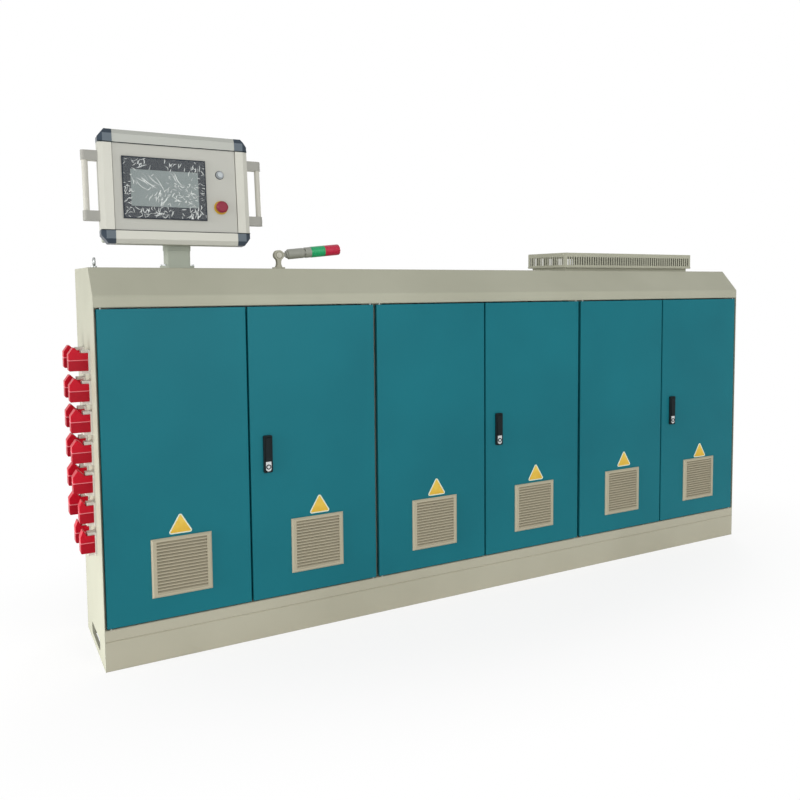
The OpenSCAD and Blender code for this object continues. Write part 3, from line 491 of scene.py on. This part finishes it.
# Bead-blasted and anodised extrusions have fine die lines along them and a broad, cool sheen. The
# upper rail is drawn darker with painted shade.
rail_metal, tree, place = blank_material("anodised_extruded_aluminium")
drawn = add_node(tree, "ShaderNodeMapping", {
    "Vector": place, "Scale": (1 / BRUSH_LENGTH, 1 / BRUSH_WIDTH, 1 / BRUSH_WIDTH)})
streak = add_node(tree, "ShaderNodeTexNoise",
                  {"Vector": drawn.outputs[0], "Scale": 1.0, "Detail": 2.0})
tone = add_node(tree, "ShaderNodeMix", {
    0: streak.outputs["Fac"], 6: linear(RAIL_DEEP), 7: linear(RAIL_PALE)}, data_type="RGBA")
height = add_node(tree, "ShaderNodeSeparateXYZ", {0: place}).outputs["Z"]
upper = add_node(tree, "ShaderNodeMath", {0: height, 1: TOP_RAIL_FOOT}, operation="GREATER_THAN")
shaded_rails = add_node(tree, "ShaderNodeMix", {
    0: upper.outputs[0], 6: tone.outputs[2], 7: linear(RAIL_TOP_SHADE)}, data_type="RGBA")
dull = add_node(tree, "ShaderNodeMapRange", {0: streak.outputs["Fac"], 3: 0.42, 4: 0.55})
close_material(tree, add_node(tree, "ShaderNodeBsdfPrincipled", {
    "Base Color": shaded_rails.outputs[2], "Metallic": 0.15, "Roughness": dull.outputs[0],
    "Specular IOR Level": 0.25}))
wear(rail_metal, "hmi_rails")
# Grips are tubes of the same bright metal between end blocks that are cast and painted a duller
# grey. A point is on the tube where it is near the tube's middle, along the lean of the panel.
grip_metal, tree, place = blank_material("anodised_tube_in_painted_cast_blocks")
grain = add_node(tree, "ShaderNodeTexNoise",
                 {"Vector": place, "Scale": 1 / MOULD_GRAIN, "Detail": 2.0})
bump = add_node(tree, "ShaderNodeBump",
                {"Height": grain.outputs["Fac"], "Strength": 0.15, "Distance": 0.0003})
paint = add_node(tree, "ShaderNodeMix", {
    0: grain.outputs["Fac"], 6: linear(BLOCK_DEEP), 7: linear(BLOCK_PALE)}, data_type="RGBA")
off_foot = add_node(tree, "ShaderNodeVectorMath", {0: place, 1: HEAD_PLACE}, operation="SUBTRACT")
lean = (0, math.sin(HEAD_LEAN), math.cos(HEAD_LEAN))
up_panel = add_node(tree, "ShaderNodeVectorMath", {0: off_foot.outputs[0], 1: lean},
                    operation="DOT_PRODUCT").outputs["Value"]
bare = add_node(tree, "ShaderNodeMath", {0: up_panel, 1: HEAD_SIZE[1] / 2, 2: TUBE_HALF},
                operation="COMPARE")
tone = add_node(tree, "ShaderNodeMix", {
    0: bare.outputs[0], 6: paint.outputs[2], 7: linear(TUBE_PALE)}, data_type="RGBA")
close_material(tree, add_node(tree, "ShaderNodeBsdfPrincipled", {
    "Base Color": tone.outputs[2], "Roughness": 0.45, "Specular IOR Level": 0.2,
    "Normal": bump.outputs[0]}))
wear(grip_metal, "hmi_handles")
# The foil is matt polyester with a fine emboss, so the plate looks even and slightly soft.
front_foil = grained("embossed_polyester_foil", FOIL_PALE, FOIL_DEEP, MOULD_GRAIN, detail=2.0,
                     bump=(0.08, 0.0002), finish={"Roughness": 0.5, "Specular IOR Level": 0.15})
wear(front_foil, "hmi_front_panel")
# Corner caps are textured and paler on the flat front, and polished on the bevels round it, where
# painted shade makes them darker.
corner_abs, tree, place = blank_material("moulded_abs_slate")
facing = add_node(tree, "ShaderNodeTexCoord").outputs["Normal"]
forward = add_node(tree, "ShaderNodeSeparateXYZ", {0: facing}).outputs["Y"]
flat = add_node(tree, "ShaderNodeMapRange", {0: forward, 1: CAP_TURN[0], 2: CAP_TURN[1]})
grain = add_node(tree, "ShaderNodeTexNoise",
                 {"Vector": place, "Scale": 1 / MOULD_GRAIN, "Detail": 2.0})
grit = add_node(tree, "ShaderNodeMath", {0: grain.outputs["Fac"], 1: flat.outputs[0]},
                operation="MULTIPLY")
bump = add_node(tree, "ShaderNodeBump",
                {"Height": grit.outputs[0], "Strength": 0.15, "Distance": 0.0003})
tone = add_node(tree, "ShaderNodeMix", {
    0: flat.outputs[0], 6: linear(CAP_BEVEL_SHADE), 7: linear(CAP_FRONT)}, data_type="RGBA")
dull = add_node(tree, "ShaderNodeMapRange", {0: flat.outputs[0], 3: 0.3, 4: 0.55})
close_material(tree, add_node(tree, "ShaderNodeBsdfPrincipled", {
    "Base Color": tone.outputs[2], "Roughness": dull.outputs[0], "Specular IOR Level": 0.15,
    "Normal": bump.outputs[0]}))
wear(corner_abs, "hmi_corners")

# Gasket of the front plate. A dark rubber cord fills the groove between the plate and the upper and
# lower rails, and its ends are squeezed out over the corner caps.
RAIL_BAND = 0.047
GROOVE = 0.002
GASKET_WIDE = 0.0032
GASKET_DEEP = 0.0012
GASKET_SHORT = 0.001
GASKET_CLEAR = 0.0005
GASKET_RISE = 0.0004
GASKET_STEPS = 10
CAP_STEP = 0.0016


def on_head(across, deep, up):
    """Points of the leaning panel head in the row frame: a turn about X by the lean and a shift."""
    back = deep * math.cos(HEAD_LEAN) + up * math.sin(HEAD_LEAN)
    high = -deep * math.sin(HEAD_LEAN) + up * math.cos(HEAD_LEAN)
    return HEAD_PLACE + np.stack([across, back, high], axis=-1)


def bead(middle, half_run, step):
    """A round cord along the width of the head: the run is one parameter and the angle round the
    cord the other, and the cord comes forward by a step over the caps at both ends."""
    straight = half_run - RAIL_BAND - GASKET_CLEAR
    run = np.array([-half_run, -straight, GASKET_RISE - straight, straight - GASKET_RISE, straight,
                    half_run])
    lift = np.array([step, step, 0, 0, step, step])
    turn = np.linspace(0, 2 * math.pi, GASKET_STEPS, endpoint=False)
    across = np.broadcast_to(run[:, None], (run.size, turn.size))
    return on_head(across, GASKET_DEEP - lift[:, None] + GASKET_WIDE / 2 * np.cos(turn),
                   middle + GASKET_WIDE / 2 * np.sin(turn) + 0 * across)


beads = np.stack([bead(z, HEAD_SIZE[0] / 2 - GASKET_SHORT, CAP_STEP) for z in
                  (RAIL_BAND - GROOVE / 2, HEAD_SIZE[1] - RAIL_BAND + GROOVE / 2)])
gasket = skin("panel_gasket", beads, "hmi", around=True)
gasket.data.materials.append(rubber)

# Touch screen. A black framed monitor sits in the front plate, and its clear delivery film is still
# on, loose and creased over the glass.
SCREEN_BLACK = "#18212c"
GLASS_WAVE = 0.05
DISPLAY_GREY = "#86908f"
DISPLAY_DEEP = "#7a8584"
DISPLAY_CLOUD = 0.15
SCREEN_SIZE = np.array([0.288, 0.218])
SCREEN_FOOT = np.array([0.075 - HEAD_SIZE[0] / 2, 0.088])
BEZEL_FRONT = -0.002
GLASS_FRONT = -0.0008
DISPLAY_SIDE = 0.0275
DISPLAY_FOOT = 0.0445
DISPLAY_STEPS = (12, 9)
# The film's haze, and the colour of the painted highlight along its creases.
FILM_HAZE_AND_HIGHLIGHT = "#e6ebe9"
FILM_SIDES = (0.014, 0.986)
FILM_ENDS = (0.018, 0.982)
FILM_STEPS = (280, 212)
FILM_OFF = 0.0005
FILM_PUFF = 0.0004
FILM_WAVES = ((19, 5), (-4, 13))
FILM_COVER = (0.07, 0.92)
CREASE_SEEN = (0.12, 0.75)
CREASE_TALL = 0.0014
CREASE_BEND = 0.35
CREASE_LENGTHS = (0.4, 1.0)
CREASE_WIDTHS = (0.5, 0.8)
CREASE_WHITES = (0.55, 1.0)
CREASE_SEED = 11
HALVES_PER_METRE = 2000
# Creases lie in groups. A row gives a group's middle and spread as shares of the screen, its
# direction and the spread of that in degrees, its count, the longest crease and the widest in
# millimetres, and how white they are.
CREASES = np.array([
    (0.32, 0.10, 0.16, 0.05, 60, 40, 52, 30, 3.6, 1.00),
    (0.84, 0.09, 0.07, 0.05, 80, 30, 30, 32, 4.6, 1.00),
    (0.07, 0.42, 0.035, 0.17, 40, 60, 34, 22, 3.4, 1.00),
    (0.17, 0.89, 0.10, 0.05, 50, 50, 24, 30, 3.8, 1.00),
    (0.60, 0.88, 0.06, 0.05, 80, 25, 9, 30, 3.8, 1.00),
    (0.88, 0.84, 0.05, 0.06, 110, 30, 18, 30, 3.4, 1.00),
    (0.95, 0.50, 0.015, 0.20, 0, 12, 14, 18, 3.0, 1.00),
    (0.27, 0.58, 0.10, 0.10, -44, 8, 10, 95, 3.8, 1.00),
    (0.63, 0.70, 0.03, 0.04, -55, 8, 5, 70, 4.0, 1.00),
    (0.46, 0.36, 0.10, 0.07, 58, 16, 40, 32, 3.8, 1.00),
    (0.76, 0.42, 0.11, 0.12, -35, 35, 48, 28, 3.8, 1.00),
    (0.58, 0.52, 0.16, 0.12, 40, 40, 24, 22, 3.6, 1.00)])


def smooth(piece):
    """Shades every face of a piece smoothly, with the normals averaged where faces meet."""
    piece.data.polygons.foreach_set("use_smooth", np.ones(len(piece.data.polygons), dtype=bool))


# Enamelled glass is deep and glossy, with only the slightest waviness.
screen_black = uneven_gloss("enamelled_glass_black", SCREEN_BLACK, GLASS_WAVE, detail=2.0,
                            dull=(0.15, 0.22), finish={"Specular IOR Level": 0.1})
wear(screen_black, "hmi_screen")
# A display that is off is an even mid grey behind an anti-glare layer.
display_off, tree, place = blank_material("anti_glare_liquid_crystal_display")
cloud = add_node(tree, "ShaderNodeTexNoise",
                 {"Vector": place, "Scale": 1 / DISPLAY_CLOUD, "Detail": 2.0})
tone = add_node(tree, "ShaderNodeMix", {
    0: cloud.outputs["Fac"], 6: linear(DISPLAY_DEEP), 7: linear(DISPLAY_GREY)}, data_type="RGBA")
close_material(tree, add_node(tree, "ShaderNodeBsdfPrincipled", {
    "Base Color": tone.outputs[2], "Roughness": 0.35, "Specular IOR Level": 0.15}))
u, v = np.meshgrid(*(np.linspace(0, 1, steps) for steps in DISPLAY_STEPS))
display = skin("display", on_head(
    SCREEN_FOOT[0] + DISPLAY_SIDE + u * (SCREEN_SIZE[0] - 2 * DISPLAY_SIDE),
    np.full_like(u, GLASS_FRONT),
    SCREEN_FOOT[1] + DISPLAY_FOOT + v * (SCREEN_SIZE[1] - 2 * DISPLAY_FOOT))[None], "hmi")
display.data.materials.append(display_off)
# A point's crease is the whitest of the ridges near it: each is a bell curve of the distance from a
# bent line, and it thins out to nothing at both ends of the line.
chance = np.random.default_rng(CREASE_SEED)
group = np.repeat(CREASES, CREASES[:, 6].astype(int), axis=0)
count = len(group)
start = (group[:, :2] + chance.normal(size=(count, 2)) * group[:, 2:4]) * SCREEN_SIZE
turn = np.radians(group[:, 4] + chance.normal(size=count) * group[:, 5])
half = group[:, 7] * chance.uniform(*CREASE_LENGTHS, count) / HALVES_PER_METRE
wide = group[:, 8] * chance.uniform(*CREASE_WIDTHS, count) / HALVES_PER_METRE
white = group[:, 9] * chance.uniform(*CREASE_WHITES, count)
bend = chance.normal(size=count) * CREASE_BEND / half
u, v = np.meshgrid(np.linspace(*FILM_SIDES, FILM_STEPS[0]), np.linspace(*FILM_ENDS, FILM_STEPS[1]))
spot = np.stack([u, v], axis=-1)[:, :, None] * SCREEN_SIZE - start
forward = spot[..., 0] * np.cos(turn) + spot[..., 1] * np.sin(turn)
sideways = spot[..., 1] * np.cos(turn) - spot[..., 0] * np.sin(turn) - bend * forward ** 2
taper = np.clip(1 - (forward / half) ** 2, 0, 1)
crease = (white * taper * np.exp(-(sideways / wide) ** 2)).max(axis=-1)
# The film stands off the glass by a little, by its creases and by the product of two slow waves.
(first_u, first_v), (second_u, second_v) = FILM_WAVES
puff = FILM_PUFF * np.sin(first_u * u + first_v * v) * np.sin(second_v * v + second_u * u)
stand = FILM_OFF + CREASE_TALL * crease + puff
film = skin("delivery_film", on_head(
    SCREEN_FOOT[0] + u * SCREEN_SIZE[0], BEZEL_FRONT - stand,
    SCREEN_FOOT[1] + v * SCREEN_SIZE[1])[None], "hmi")
film.data.attributes.new("crease", "FLOAT", "POINT").data.foreach_set("value", crease.ravel())
smooth(film)
# Thin polyethylene is clear with a light haze. Along its creases it is drawn whiter and more
# opaque:
# partly the film's own whitening, partly a painted highlight where the folds catch the light.
film_clear, tree, place = blank_material("blown_polyethylene_film")
mark = add_node(tree, "ShaderNodeAttribute", attribute_name="crease")
cover = add_node(tree, "ShaderNodeMapRange", {
    0: mark.outputs["Fac"], 1: CREASE_SEEN[0], 2: CREASE_SEEN[1],
    3: FILM_COVER[0], 4: FILM_COVER[1]})
close_material(tree, add_node(tree, "ShaderNodeBsdfPrincipled", {
    "Base Color": linear(FILM_HAZE_AND_HIGHLIGHT), "Roughness": 0.25, "IOR": 1.5, "Alpha": cover.outputs[0]}))
film.data.materials.append(film_clear)

# Push-buttons. A flush steel button in a steel ring, and a mushroom head of glossy red over a
# yellow collar. Both have a threaded neck through the front plate.
STOP_RED = "#8b2a3d"
STOP_YELLOW = "#d0a63a"
MOULD_FLOW = 0.01
RING_STEEL = "#6a6e70"
BUTTON_STEEL = "#7b7f80"
TURNING_MARK = 0.002
# Thermoset heads are dense and glossy, with faint clouds where the moulding flowed.
for name, colour, shine, node in (("red", STOP_RED, 0.15, "estop_head"),
                                  ("yellow", STOP_YELLOW, 0.2, "hmi_stop_collar")):
    wear(uneven_gloss(f"moulded_thermoset_{name}", colour, MOULD_FLOW, detail=2.0, dull=(0.3, 0.4),
                      finish={"Specular IOR Level": shine}), node)
# Turned stainless steel keeps fine tool marks, drawn coarser than real, that spread the reflection.
for name, colour, node in (("ring", RING_STEEL, "hmi_start_ring"),
                           ("button", BUTTON_STEEL, "start_button")):
    wear(uneven_gloss(f"turned_stainless_steel_{name}", colour, TURNING_MARK, detail=2.0,
                      dull=(0.28, 0.42), finish={"Metallic": 1.0}), node)

# Signal lamp. A cast foot and a moulded arm and base carry a green and a red lens of polycarbonate,
# which twist together end to end and stand proud of the base, as does the sleeve of the neck below
# them. A pin through the foot lets the lamp fold.
LAMP_GREY = "#a4a59c"
LAMP_DEEP = "#999a91"
FOOT_CAST = "#bbb9a8"
FOOT_DEEP = "#a9a796"
LENS_GREEN = "#1db873"
LENS_RED = "#d21a44"
# Paler colours of painted light where a lens wall is seen edge-on.
GREEN_EDGE_GLOW = "#63c79b"
RED_EDGE_GLOW = "#dd6f83"
LENS_ROUND = 0.0218
LENS_LONG = 0.058
LENS_EASE = 0.0008
LENS_STEPS = 64
LENS_SHARP = math.radians(30)
DOME_ROUND = 0.008
DOME_STEPS = 7
LENS_FROST = 0.002
NECK_ROUND = 0.0208
NECK_CORE = 0.0181
NECK_LONG = 0.025
LAMP_TILT = math.radians(6)
PIN_PLACE = np.array([0.713, 0.275, 1.408]) + ROW_SHIFT
CHEEK_SIDES = np.array([0.007, 0.012])
CHEEK_EASE = 0.0007
EYE_ROUND = 0.0195
EYE_STEPS = 32
LEG_NECK = 0.0105
LEG_IN = 0.0143
LEG_OUT = 0.0163
LEG_FOOT = 0.047
LEG_STEPS = 13
PIN_TALL = 0.056
FOOT_HALF = np.array([0.022, 0.018])
FOOT_CORNER = 0.005
FOOT_STEPS = 48
WASHER = 0.011
WASHER_EDGE = WASHER + 0.0001
# A thin ring round each washer where the foot is drawn darker, and its colour below.
DARK_RING_EDGE = (WASHER + 0.0022, WASHER + 0.0012)
PIN_HEAD = np.array([(WASHER, 0.0), (WASHER, 0.0012), (0.0104, 0.0018), (0.0046, 0.0018),
                     (0.0046, 0.0042), (0.0038, 0.0050)])
WASHER_STEEL = "#cfcdc0"
WASHER_RING_DARK = "#77766a"
# Grained ABS, as on the grilles, in a mid grey.
lamp_grey = grained("moulded_abs_grey", LAMP_GREY, LAMP_DEEP, MOULD_GRAIN, detail=2.0,
                    bump=(0.15, 0.0003), finish={"Roughness": 0.4, "Specular IOR Level": 0.25})
wear(lamp_grey, "lamp_arm", "lamp_body")
# The foot is cast and painted, paler than the lamp and a little rough. Its pin and washers are bare
# steel, and the foot is drawn darker in a thin ring round each washer.
foot_paint, tree, place = blank_material("painted_cast_aluminium")
grain = add_node(tree, "ShaderNodeTexNoise",
                 {"Vector": place, "Scale": 1 / CAST_PITS, "Detail": 3.0})
bump = add_node(tree, "ShaderNodeBump",
                {"Height": grain.outputs["Fac"], "Strength": 0.2, "Distance": 0.0004})
tone = add_node(tree, "ShaderNodeMix", {
    0: grain.outputs["Fac"], 6: linear(FOOT_DEEP), 7: linear(FOOT_CAST)}, data_type="RGBA")
off_pin = add_node(tree, "ShaderNodeVectorMath", {0: place, 1: PIN_PLACE}, operation="SUBTRACT")
round_pin = add_node(tree, "ShaderNodeVectorMath", {0: off_pin.outputs[0], 1: (1, 0, 1)},
                     operation="MULTIPLY")
reach = add_node(tree, "ShaderNodeVectorMath", {0: round_pin.outputs[0]},
                 operation="LENGTH").outputs["Value"]
dark_ring = add_node(tree, "ShaderNodeMapRange", {0: reach, 1: DARK_RING_EDGE[0], 2: DARK_RING_EDGE[1]})
painted = add_node(tree, "ShaderNodeMix", {
    0: dark_ring.outputs[0], 6: tone.outputs[2], 7: linear(WASHER_RING_DARK)}, data_type="RGBA")
bare = add_node(tree, "ShaderNodeMath", {0: reach, 1: WASHER_EDGE}, operation="LESS_THAN")
foot_tone = add_node(tree, "ShaderNodeMix", {
    0: bare.outputs[0], 6: painted.outputs[2], 7: linear(WASHER_STEEL)}, data_type="RGBA")
close_material(tree, add_node(tree, "ShaderNodeBsdfPrincipled", {
    "Base Color": foot_tone.outputs[2], "Roughness": 0.45, "Specular IOR Level": 0.2,
    "Normal": bump.outputs[0]}))


def eased_slab(outline, ease):
    """Two rows for each face of a slab with eased edges: the outline drawn in by the ease along its
    own normals, and the full outline, then the same two in turn for the other face."""
    run = np.roll(outline, -1, axis=0) - np.roll(outline, 1, axis=0)
    across = np.stack([run[:, 1], -run[:, 0]], axis=-1)
    normal = across / np.linalg.norm(run, axis=1, keepdims=True)
    outward = 1 if np.sum(normal * (outline - outline.mean(axis=0))) > 0 else -1
    drawn_in = outline - outward * ease * normal
    return np.stack([drawn_in, outline, outline, drawn_in])


# A cheek is a round eye on a leg whose half width falls and then rises again, as a square curve of
# the way down, so that it is waisted above the plate.
eye_end = math.acos(LEG_NECK / EYE_ROUND)
round_eye = np.linspace(math.pi + eye_end, -eye_end, EYE_STEPS)
way_down = np.linspace(0, 1, LEG_STEPS + 1)[1:]
half_leg = LEG_NECK - LEG_IN * way_down + LEG_OUT * way_down ** 2
leg_z = -EYE_ROUND * math.sin(eye_end) * (1 - way_down) - LEG_FOOT * way_down
outline = np.concatenate([np.stack([-half_leg, leg_z], axis=-1)[::-1],
                          EYE_ROUND * np.stack([np.cos(round_eye), np.sin(round_eye)], axis=-1),
                          np.stack([half_leg, leg_z], axis=-1)])
slab = eased_slab(outline, CHEEK_EASE)
deep = np.array([CHEEK_SIDES[0], CHEEK_SIDES[0] + CHEEK_EASE, CHEEK_SIDES[1] - CHEEK_EASE,
                 CHEEK_SIDES[1]])
cheeks = skin("lamp_foot_cheeks", np.stack([PIN_PLACE + np.stack(
    [slab[..., 0], side * deep[:, None] + 0 * slab[..., 0], slab[..., 1]], axis=-1)
    for side in (-1, 1)]), "root", around=True)
# The plate is a rectangle with round corners: a circle of points, each moved out to its corner.
turn = np.linspace(0, 2 * math.pi, FOOT_STEPS, endpoint=False)
circle = np.stack([np.cos(turn), np.sin(turn)], axis=-1)
corner = np.sign(circle) * (FOOT_HALF - FOOT_CORNER)
slab = eased_slab(corner + FOOT_CORNER * circle, CHEEK_EASE)[1:]
tall = np.array([-PIN_TALL, -LEG_FOOT - CHEEK_EASE, -LEG_FOOT])
foot_plate = skin("lamp_foot_plate", PIN_PLACE + np.stack(
    [slab[..., 0], slab[..., 1], tall[:, None] + 0 * slab[..., 0]], axis=-1)[None], "root",
    around=True)
pins = [turned(f"lamp_pin_{end}", [PIN_PLACE + (0, out * CHEEK_SIDES[1], 0)], (0, out, 0), PIN_HEAD,
               "root") for end, out in (("front", -1), ("rear", 1))]
for piece in (cheeks, foot_plate, *pins):
    piece.data.materials.append(foot_paint)
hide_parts("lamp_foot")
lamp_axis = np.array([math.cos(LAMP_TILT), 0, math.sin(LAMP_TILT)])
lens_foot = np.mean(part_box("lamp_lens_green"), axis=0) - lamp_axis * LENS_LONG / 2
sleeve_wall = np.array([(NECK_CORE, 0.0), (NECK_ROUND - LENS_EASE, 0.0), (NECK_ROUND, LENS_EASE),
                        (NECK_ROUND, NECK_LONG), (NECK_CORE, NECK_LONG)])
sleeve = turned("lamp_neck_sleeve", [lens_foot - lamp_axis * NECK_LONG], lamp_axis, sleeve_wall,
                "lamp", ring=True, steps=LENS_STEPS)
sleeve.data.materials.append(lamp_grey)
# Tinted polycarbonate lets a part of the light through. It is frosted inside, so its highlights are
# soft, and painted light makes it paler where the wall is seen edge-on.
lens_wall = [(LENS_ROUND - LENS_EASE, 0.0), (LENS_ROUND, LENS_EASE)]
lens_end = [(LENS_ROUND, LENS_LONG - LENS_EASE), (LENS_ROUND - LENS_EASE, LENS_LONG)]
lens_dome = [(LENS_ROUND - DOME_ROUND + DOME_ROUND * math.cos(a),
              LENS_LONG + DOME_ROUND * math.sin(a))
             for a in np.linspace(0, math.pi / 2, DOME_STEPS)]
round_pieces = [sleeve]
for name, colour, rim, end, along in (("green", LENS_GREEN, GREEN_EDGE_GLOW, lens_end, 0.0),
                                      ("red", LENS_RED, RED_EDGE_GLOW, lens_dome, LENS_LONG)):
    lens, tree, place = blank_material(f"moulded_polycarbonate_{name}")
    frost = add_node(tree, "ShaderNodeTexNoise",
                     {"Vector": place, "Scale": 1 / LENS_FROST, "Detail": 2.0})
    dull = add_node(tree, "ShaderNodeMapRange", {0: frost.outputs["Fac"], 3: 0.22, 4: 0.34})
    edge_on = add_node(tree, "ShaderNodeLayerWeight", {"Blend": 0.2}).outputs["Facing"]
    tint = add_node(tree, "ShaderNodeMix", {0: edge_on, 6: linear(colour), 7: linear(rim)},
                    data_type="RGBA")
    close_material(tree, add_node(tree, "ShaderNodeBsdfPrincipled", {
        "Base Color": tint.outputs[2], "Roughness": dull.outputs[0], "Specular IOR Level": 0.3,
        "Transmission Weight": 0.25}))
    shell = turned(f"lens_shell_{name}", [lens_foot + along * lamp_axis], lamp_axis,
                   np.array(lens_wall + end), "lamp", steps=LENS_STEPS)
    shell.data.materials.append(lens)
    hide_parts(f"lamp_lens_{name}")
    round_pieces.append(shell)
for piece in round_pieces:
    smooth(piece)
    piece.data.set_sharp_from_angle(angle=LENS_SHARP)

# The room: a pale floor that keeps the shadow near the cabinet and fades to white around it, even
# white light all round, a far soft lamp on the left, a small one that stands for the floor's own
# glow on the end panel, a large one in front and a weaker one behind on the right.
FLOOR_HALF = 40.0
FLOOR_WHITE = "#fafaf8"
FLOOR_REACH = (2.6, 1.4, 1.0)
FLOOR_NEAR = 0.4
FLOOR_SHOWN = 0.8
ROOM_LIGHT = 0.44
WHITE = (1, 1, 1, 1)
# A lamp's place, the point it looks at, its side in metres and its power in watts.
LAMPS = {"key": ((-16.5, -1.2, 3.2), (-1.0, 0, 1.0), 6.0, 1400),
         "glow": ((-2.5, -0.1, 0.25), (-1.47, 0, 0.3), 0.35, 7),
         "fill": ((-0.4, -7.2, 3.0), (0.0, 0, 0.7), 5.0, 222),
         "back": ((6.5, 6.5, 3.2), (0.5, 0, 0.7), 4.0, 350)}


def looking_rays(tree):
    """The largest of three shares: 1 for a camera, glossy or transmission ray, and 0 for others."""
    path = add_node(tree, "ShaderNodeLightPath")
    shown = path.outputs["Is Camera Ray"]
    for kind in ("Is Glossy Ray", "Is Transmission Ray"):
        shown = add_node(tree, "ShaderNodeMath", {0: shown, 1: path.outputs[kind]},
                         operation="MAXIMUM").outputs[0]
    return shown


def soft_lamp(name, at, aim, side, watts):
    """A square area lamp at one point, turned so that its face looks at another."""
    lamp = bpy.data.objects.new(name, bpy.data.lights.new(name, "AREA"))
    lamp.data.size = side
    lamp.data.energy = watts
    back = np.subtract(at, aim) / np.linalg.norm(np.subtract(at, aim))
    across = np.cross((0, 0, 1), back)
    across /= np.linalg.norm(across)
    turned_to = np.eye(4)
    turned_to[:3] = np.stack([across, np.cross(back, across), back, at], axis=1)
    lamp.matrix_world = Matrix(turned_to.tolist())
    bpy.context.scene.collection.objects.link(lamp)


floor_mesh = bpy.data.meshes.new("floor")
floor_mesh.from_pydata([(x * FLOOR_HALF, y * FLOOR_HALF, 0) for x, y in
                        ((-1, -1), (1, -1), (1, 1), (-1, 1))], [], [(0, 1, 2, 3)])
floor = bpy.data.objects.new("floor", floor_mesh)
bpy.context.scene.collection.objects.link(floor)
# Matt floor paint takes the shadow. To the eye it turns to plain white with the distance.
floor_coat, tree, place = blank_material("pale_studio_floor")
shrunk = add_node(tree, "ShaderNodeVectorMath", {0: place, 1: FLOOR_REACH}, operation="DIVIDE")
away = add_node(tree, "ShaderNodeVectorMath", {0: shrunk.outputs[0]}, operation="LENGTH")
fade = add_node(tree, "ShaderNodeMapRange", {
    0: away.outputs["Value"], 1: FLOOR_NEAR, 2: 1.0, 3: FLOOR_SHOWN, 4: 1.0},
    interpolation_type="SMOOTHSTEP")
seen = add_node(tree, "ShaderNodeMath", {0: looking_rays(tree), 1: fade.outputs[0]},
                operation="MULTIPLY")
paint = add_node(tree, "ShaderNodeBsdfDiffuse", {"Color": linear(FLOOR_WHITE)})
white = add_node(tree, "ShaderNodeEmission", {"Color": WHITE, "Strength": 1.0})
close_material(tree, add_node(tree, "ShaderNodeMixShader", {
    0: seen.outputs[0], 1: paint.outputs[0], 2: white.outputs[0]}))
floor_mesh.materials.append(floor_coat)
world = bpy.data.worlds.new("studio")
bpy.context.scene.world = world
world.use_nodes = True
tree = world.node_tree
tree.nodes.clear()
level = add_node(tree, "ShaderNodeMapRange", {0: looking_rays(tree), 3: ROOM_LIGHT, 4: 1.0})
sky = add_node(tree, "ShaderNodeBackground", {"Color": WHITE, "Strength": level.outputs[0]})
add_node(tree, "ShaderNodeOutputWorld", {"Surface": sky.outputs[0]})
for name, (at, aim, side, watts) in LAMPS.items():
    soft_lamp(name, at, aim, side, watts)

# The camera, fitted to the doors, the plinth and the roof in the photograph: an 800 pixel frame
# whose middle is a little left of and below the lens axis.
EYE = (-1.8395, -3.1725, 1.2881)
YAW, PITCH, ROLL = (math.radians(a) for a in (30.714, -4.268, 0.224))
SENSOR = 36.0
FOCAL = 37.876
SHIFT = (-0.075, -0.0651)
ahead = np.array([math.sin(YAW) * math.cos(PITCH), math.cos(YAW) * math.cos(PITCH),
                  math.sin(PITCH)])
level_right = np.array([math.cos(YAW), -math.sin(YAW), 0])
level_down = np.cross(ahead, level_right)
right = math.cos(ROLL) * level_right + math.sin(ROLL) * level_down
down = math.cos(ROLL) * level_down - math.sin(ROLL) * level_right
pose = np.eye(4)
pose[:3] = np.stack([right, -down, -ahead, EYE], axis=1)
camera = bpy.data.objects.new("camera", bpy.data.cameras.new("camera"))
camera.data.sensor_width = SENSOR
camera.data.lens = FOCAL
camera.data.shift_x, camera.data.shift_y = SHIFT
camera.matrix_world = Matrix(pose.tolist())
bpy.context.scene.collection.objects.link(camera)
bpy.context.scene.camera = camera
bpy.context.scene.view_settings.view_transform = "Standard"
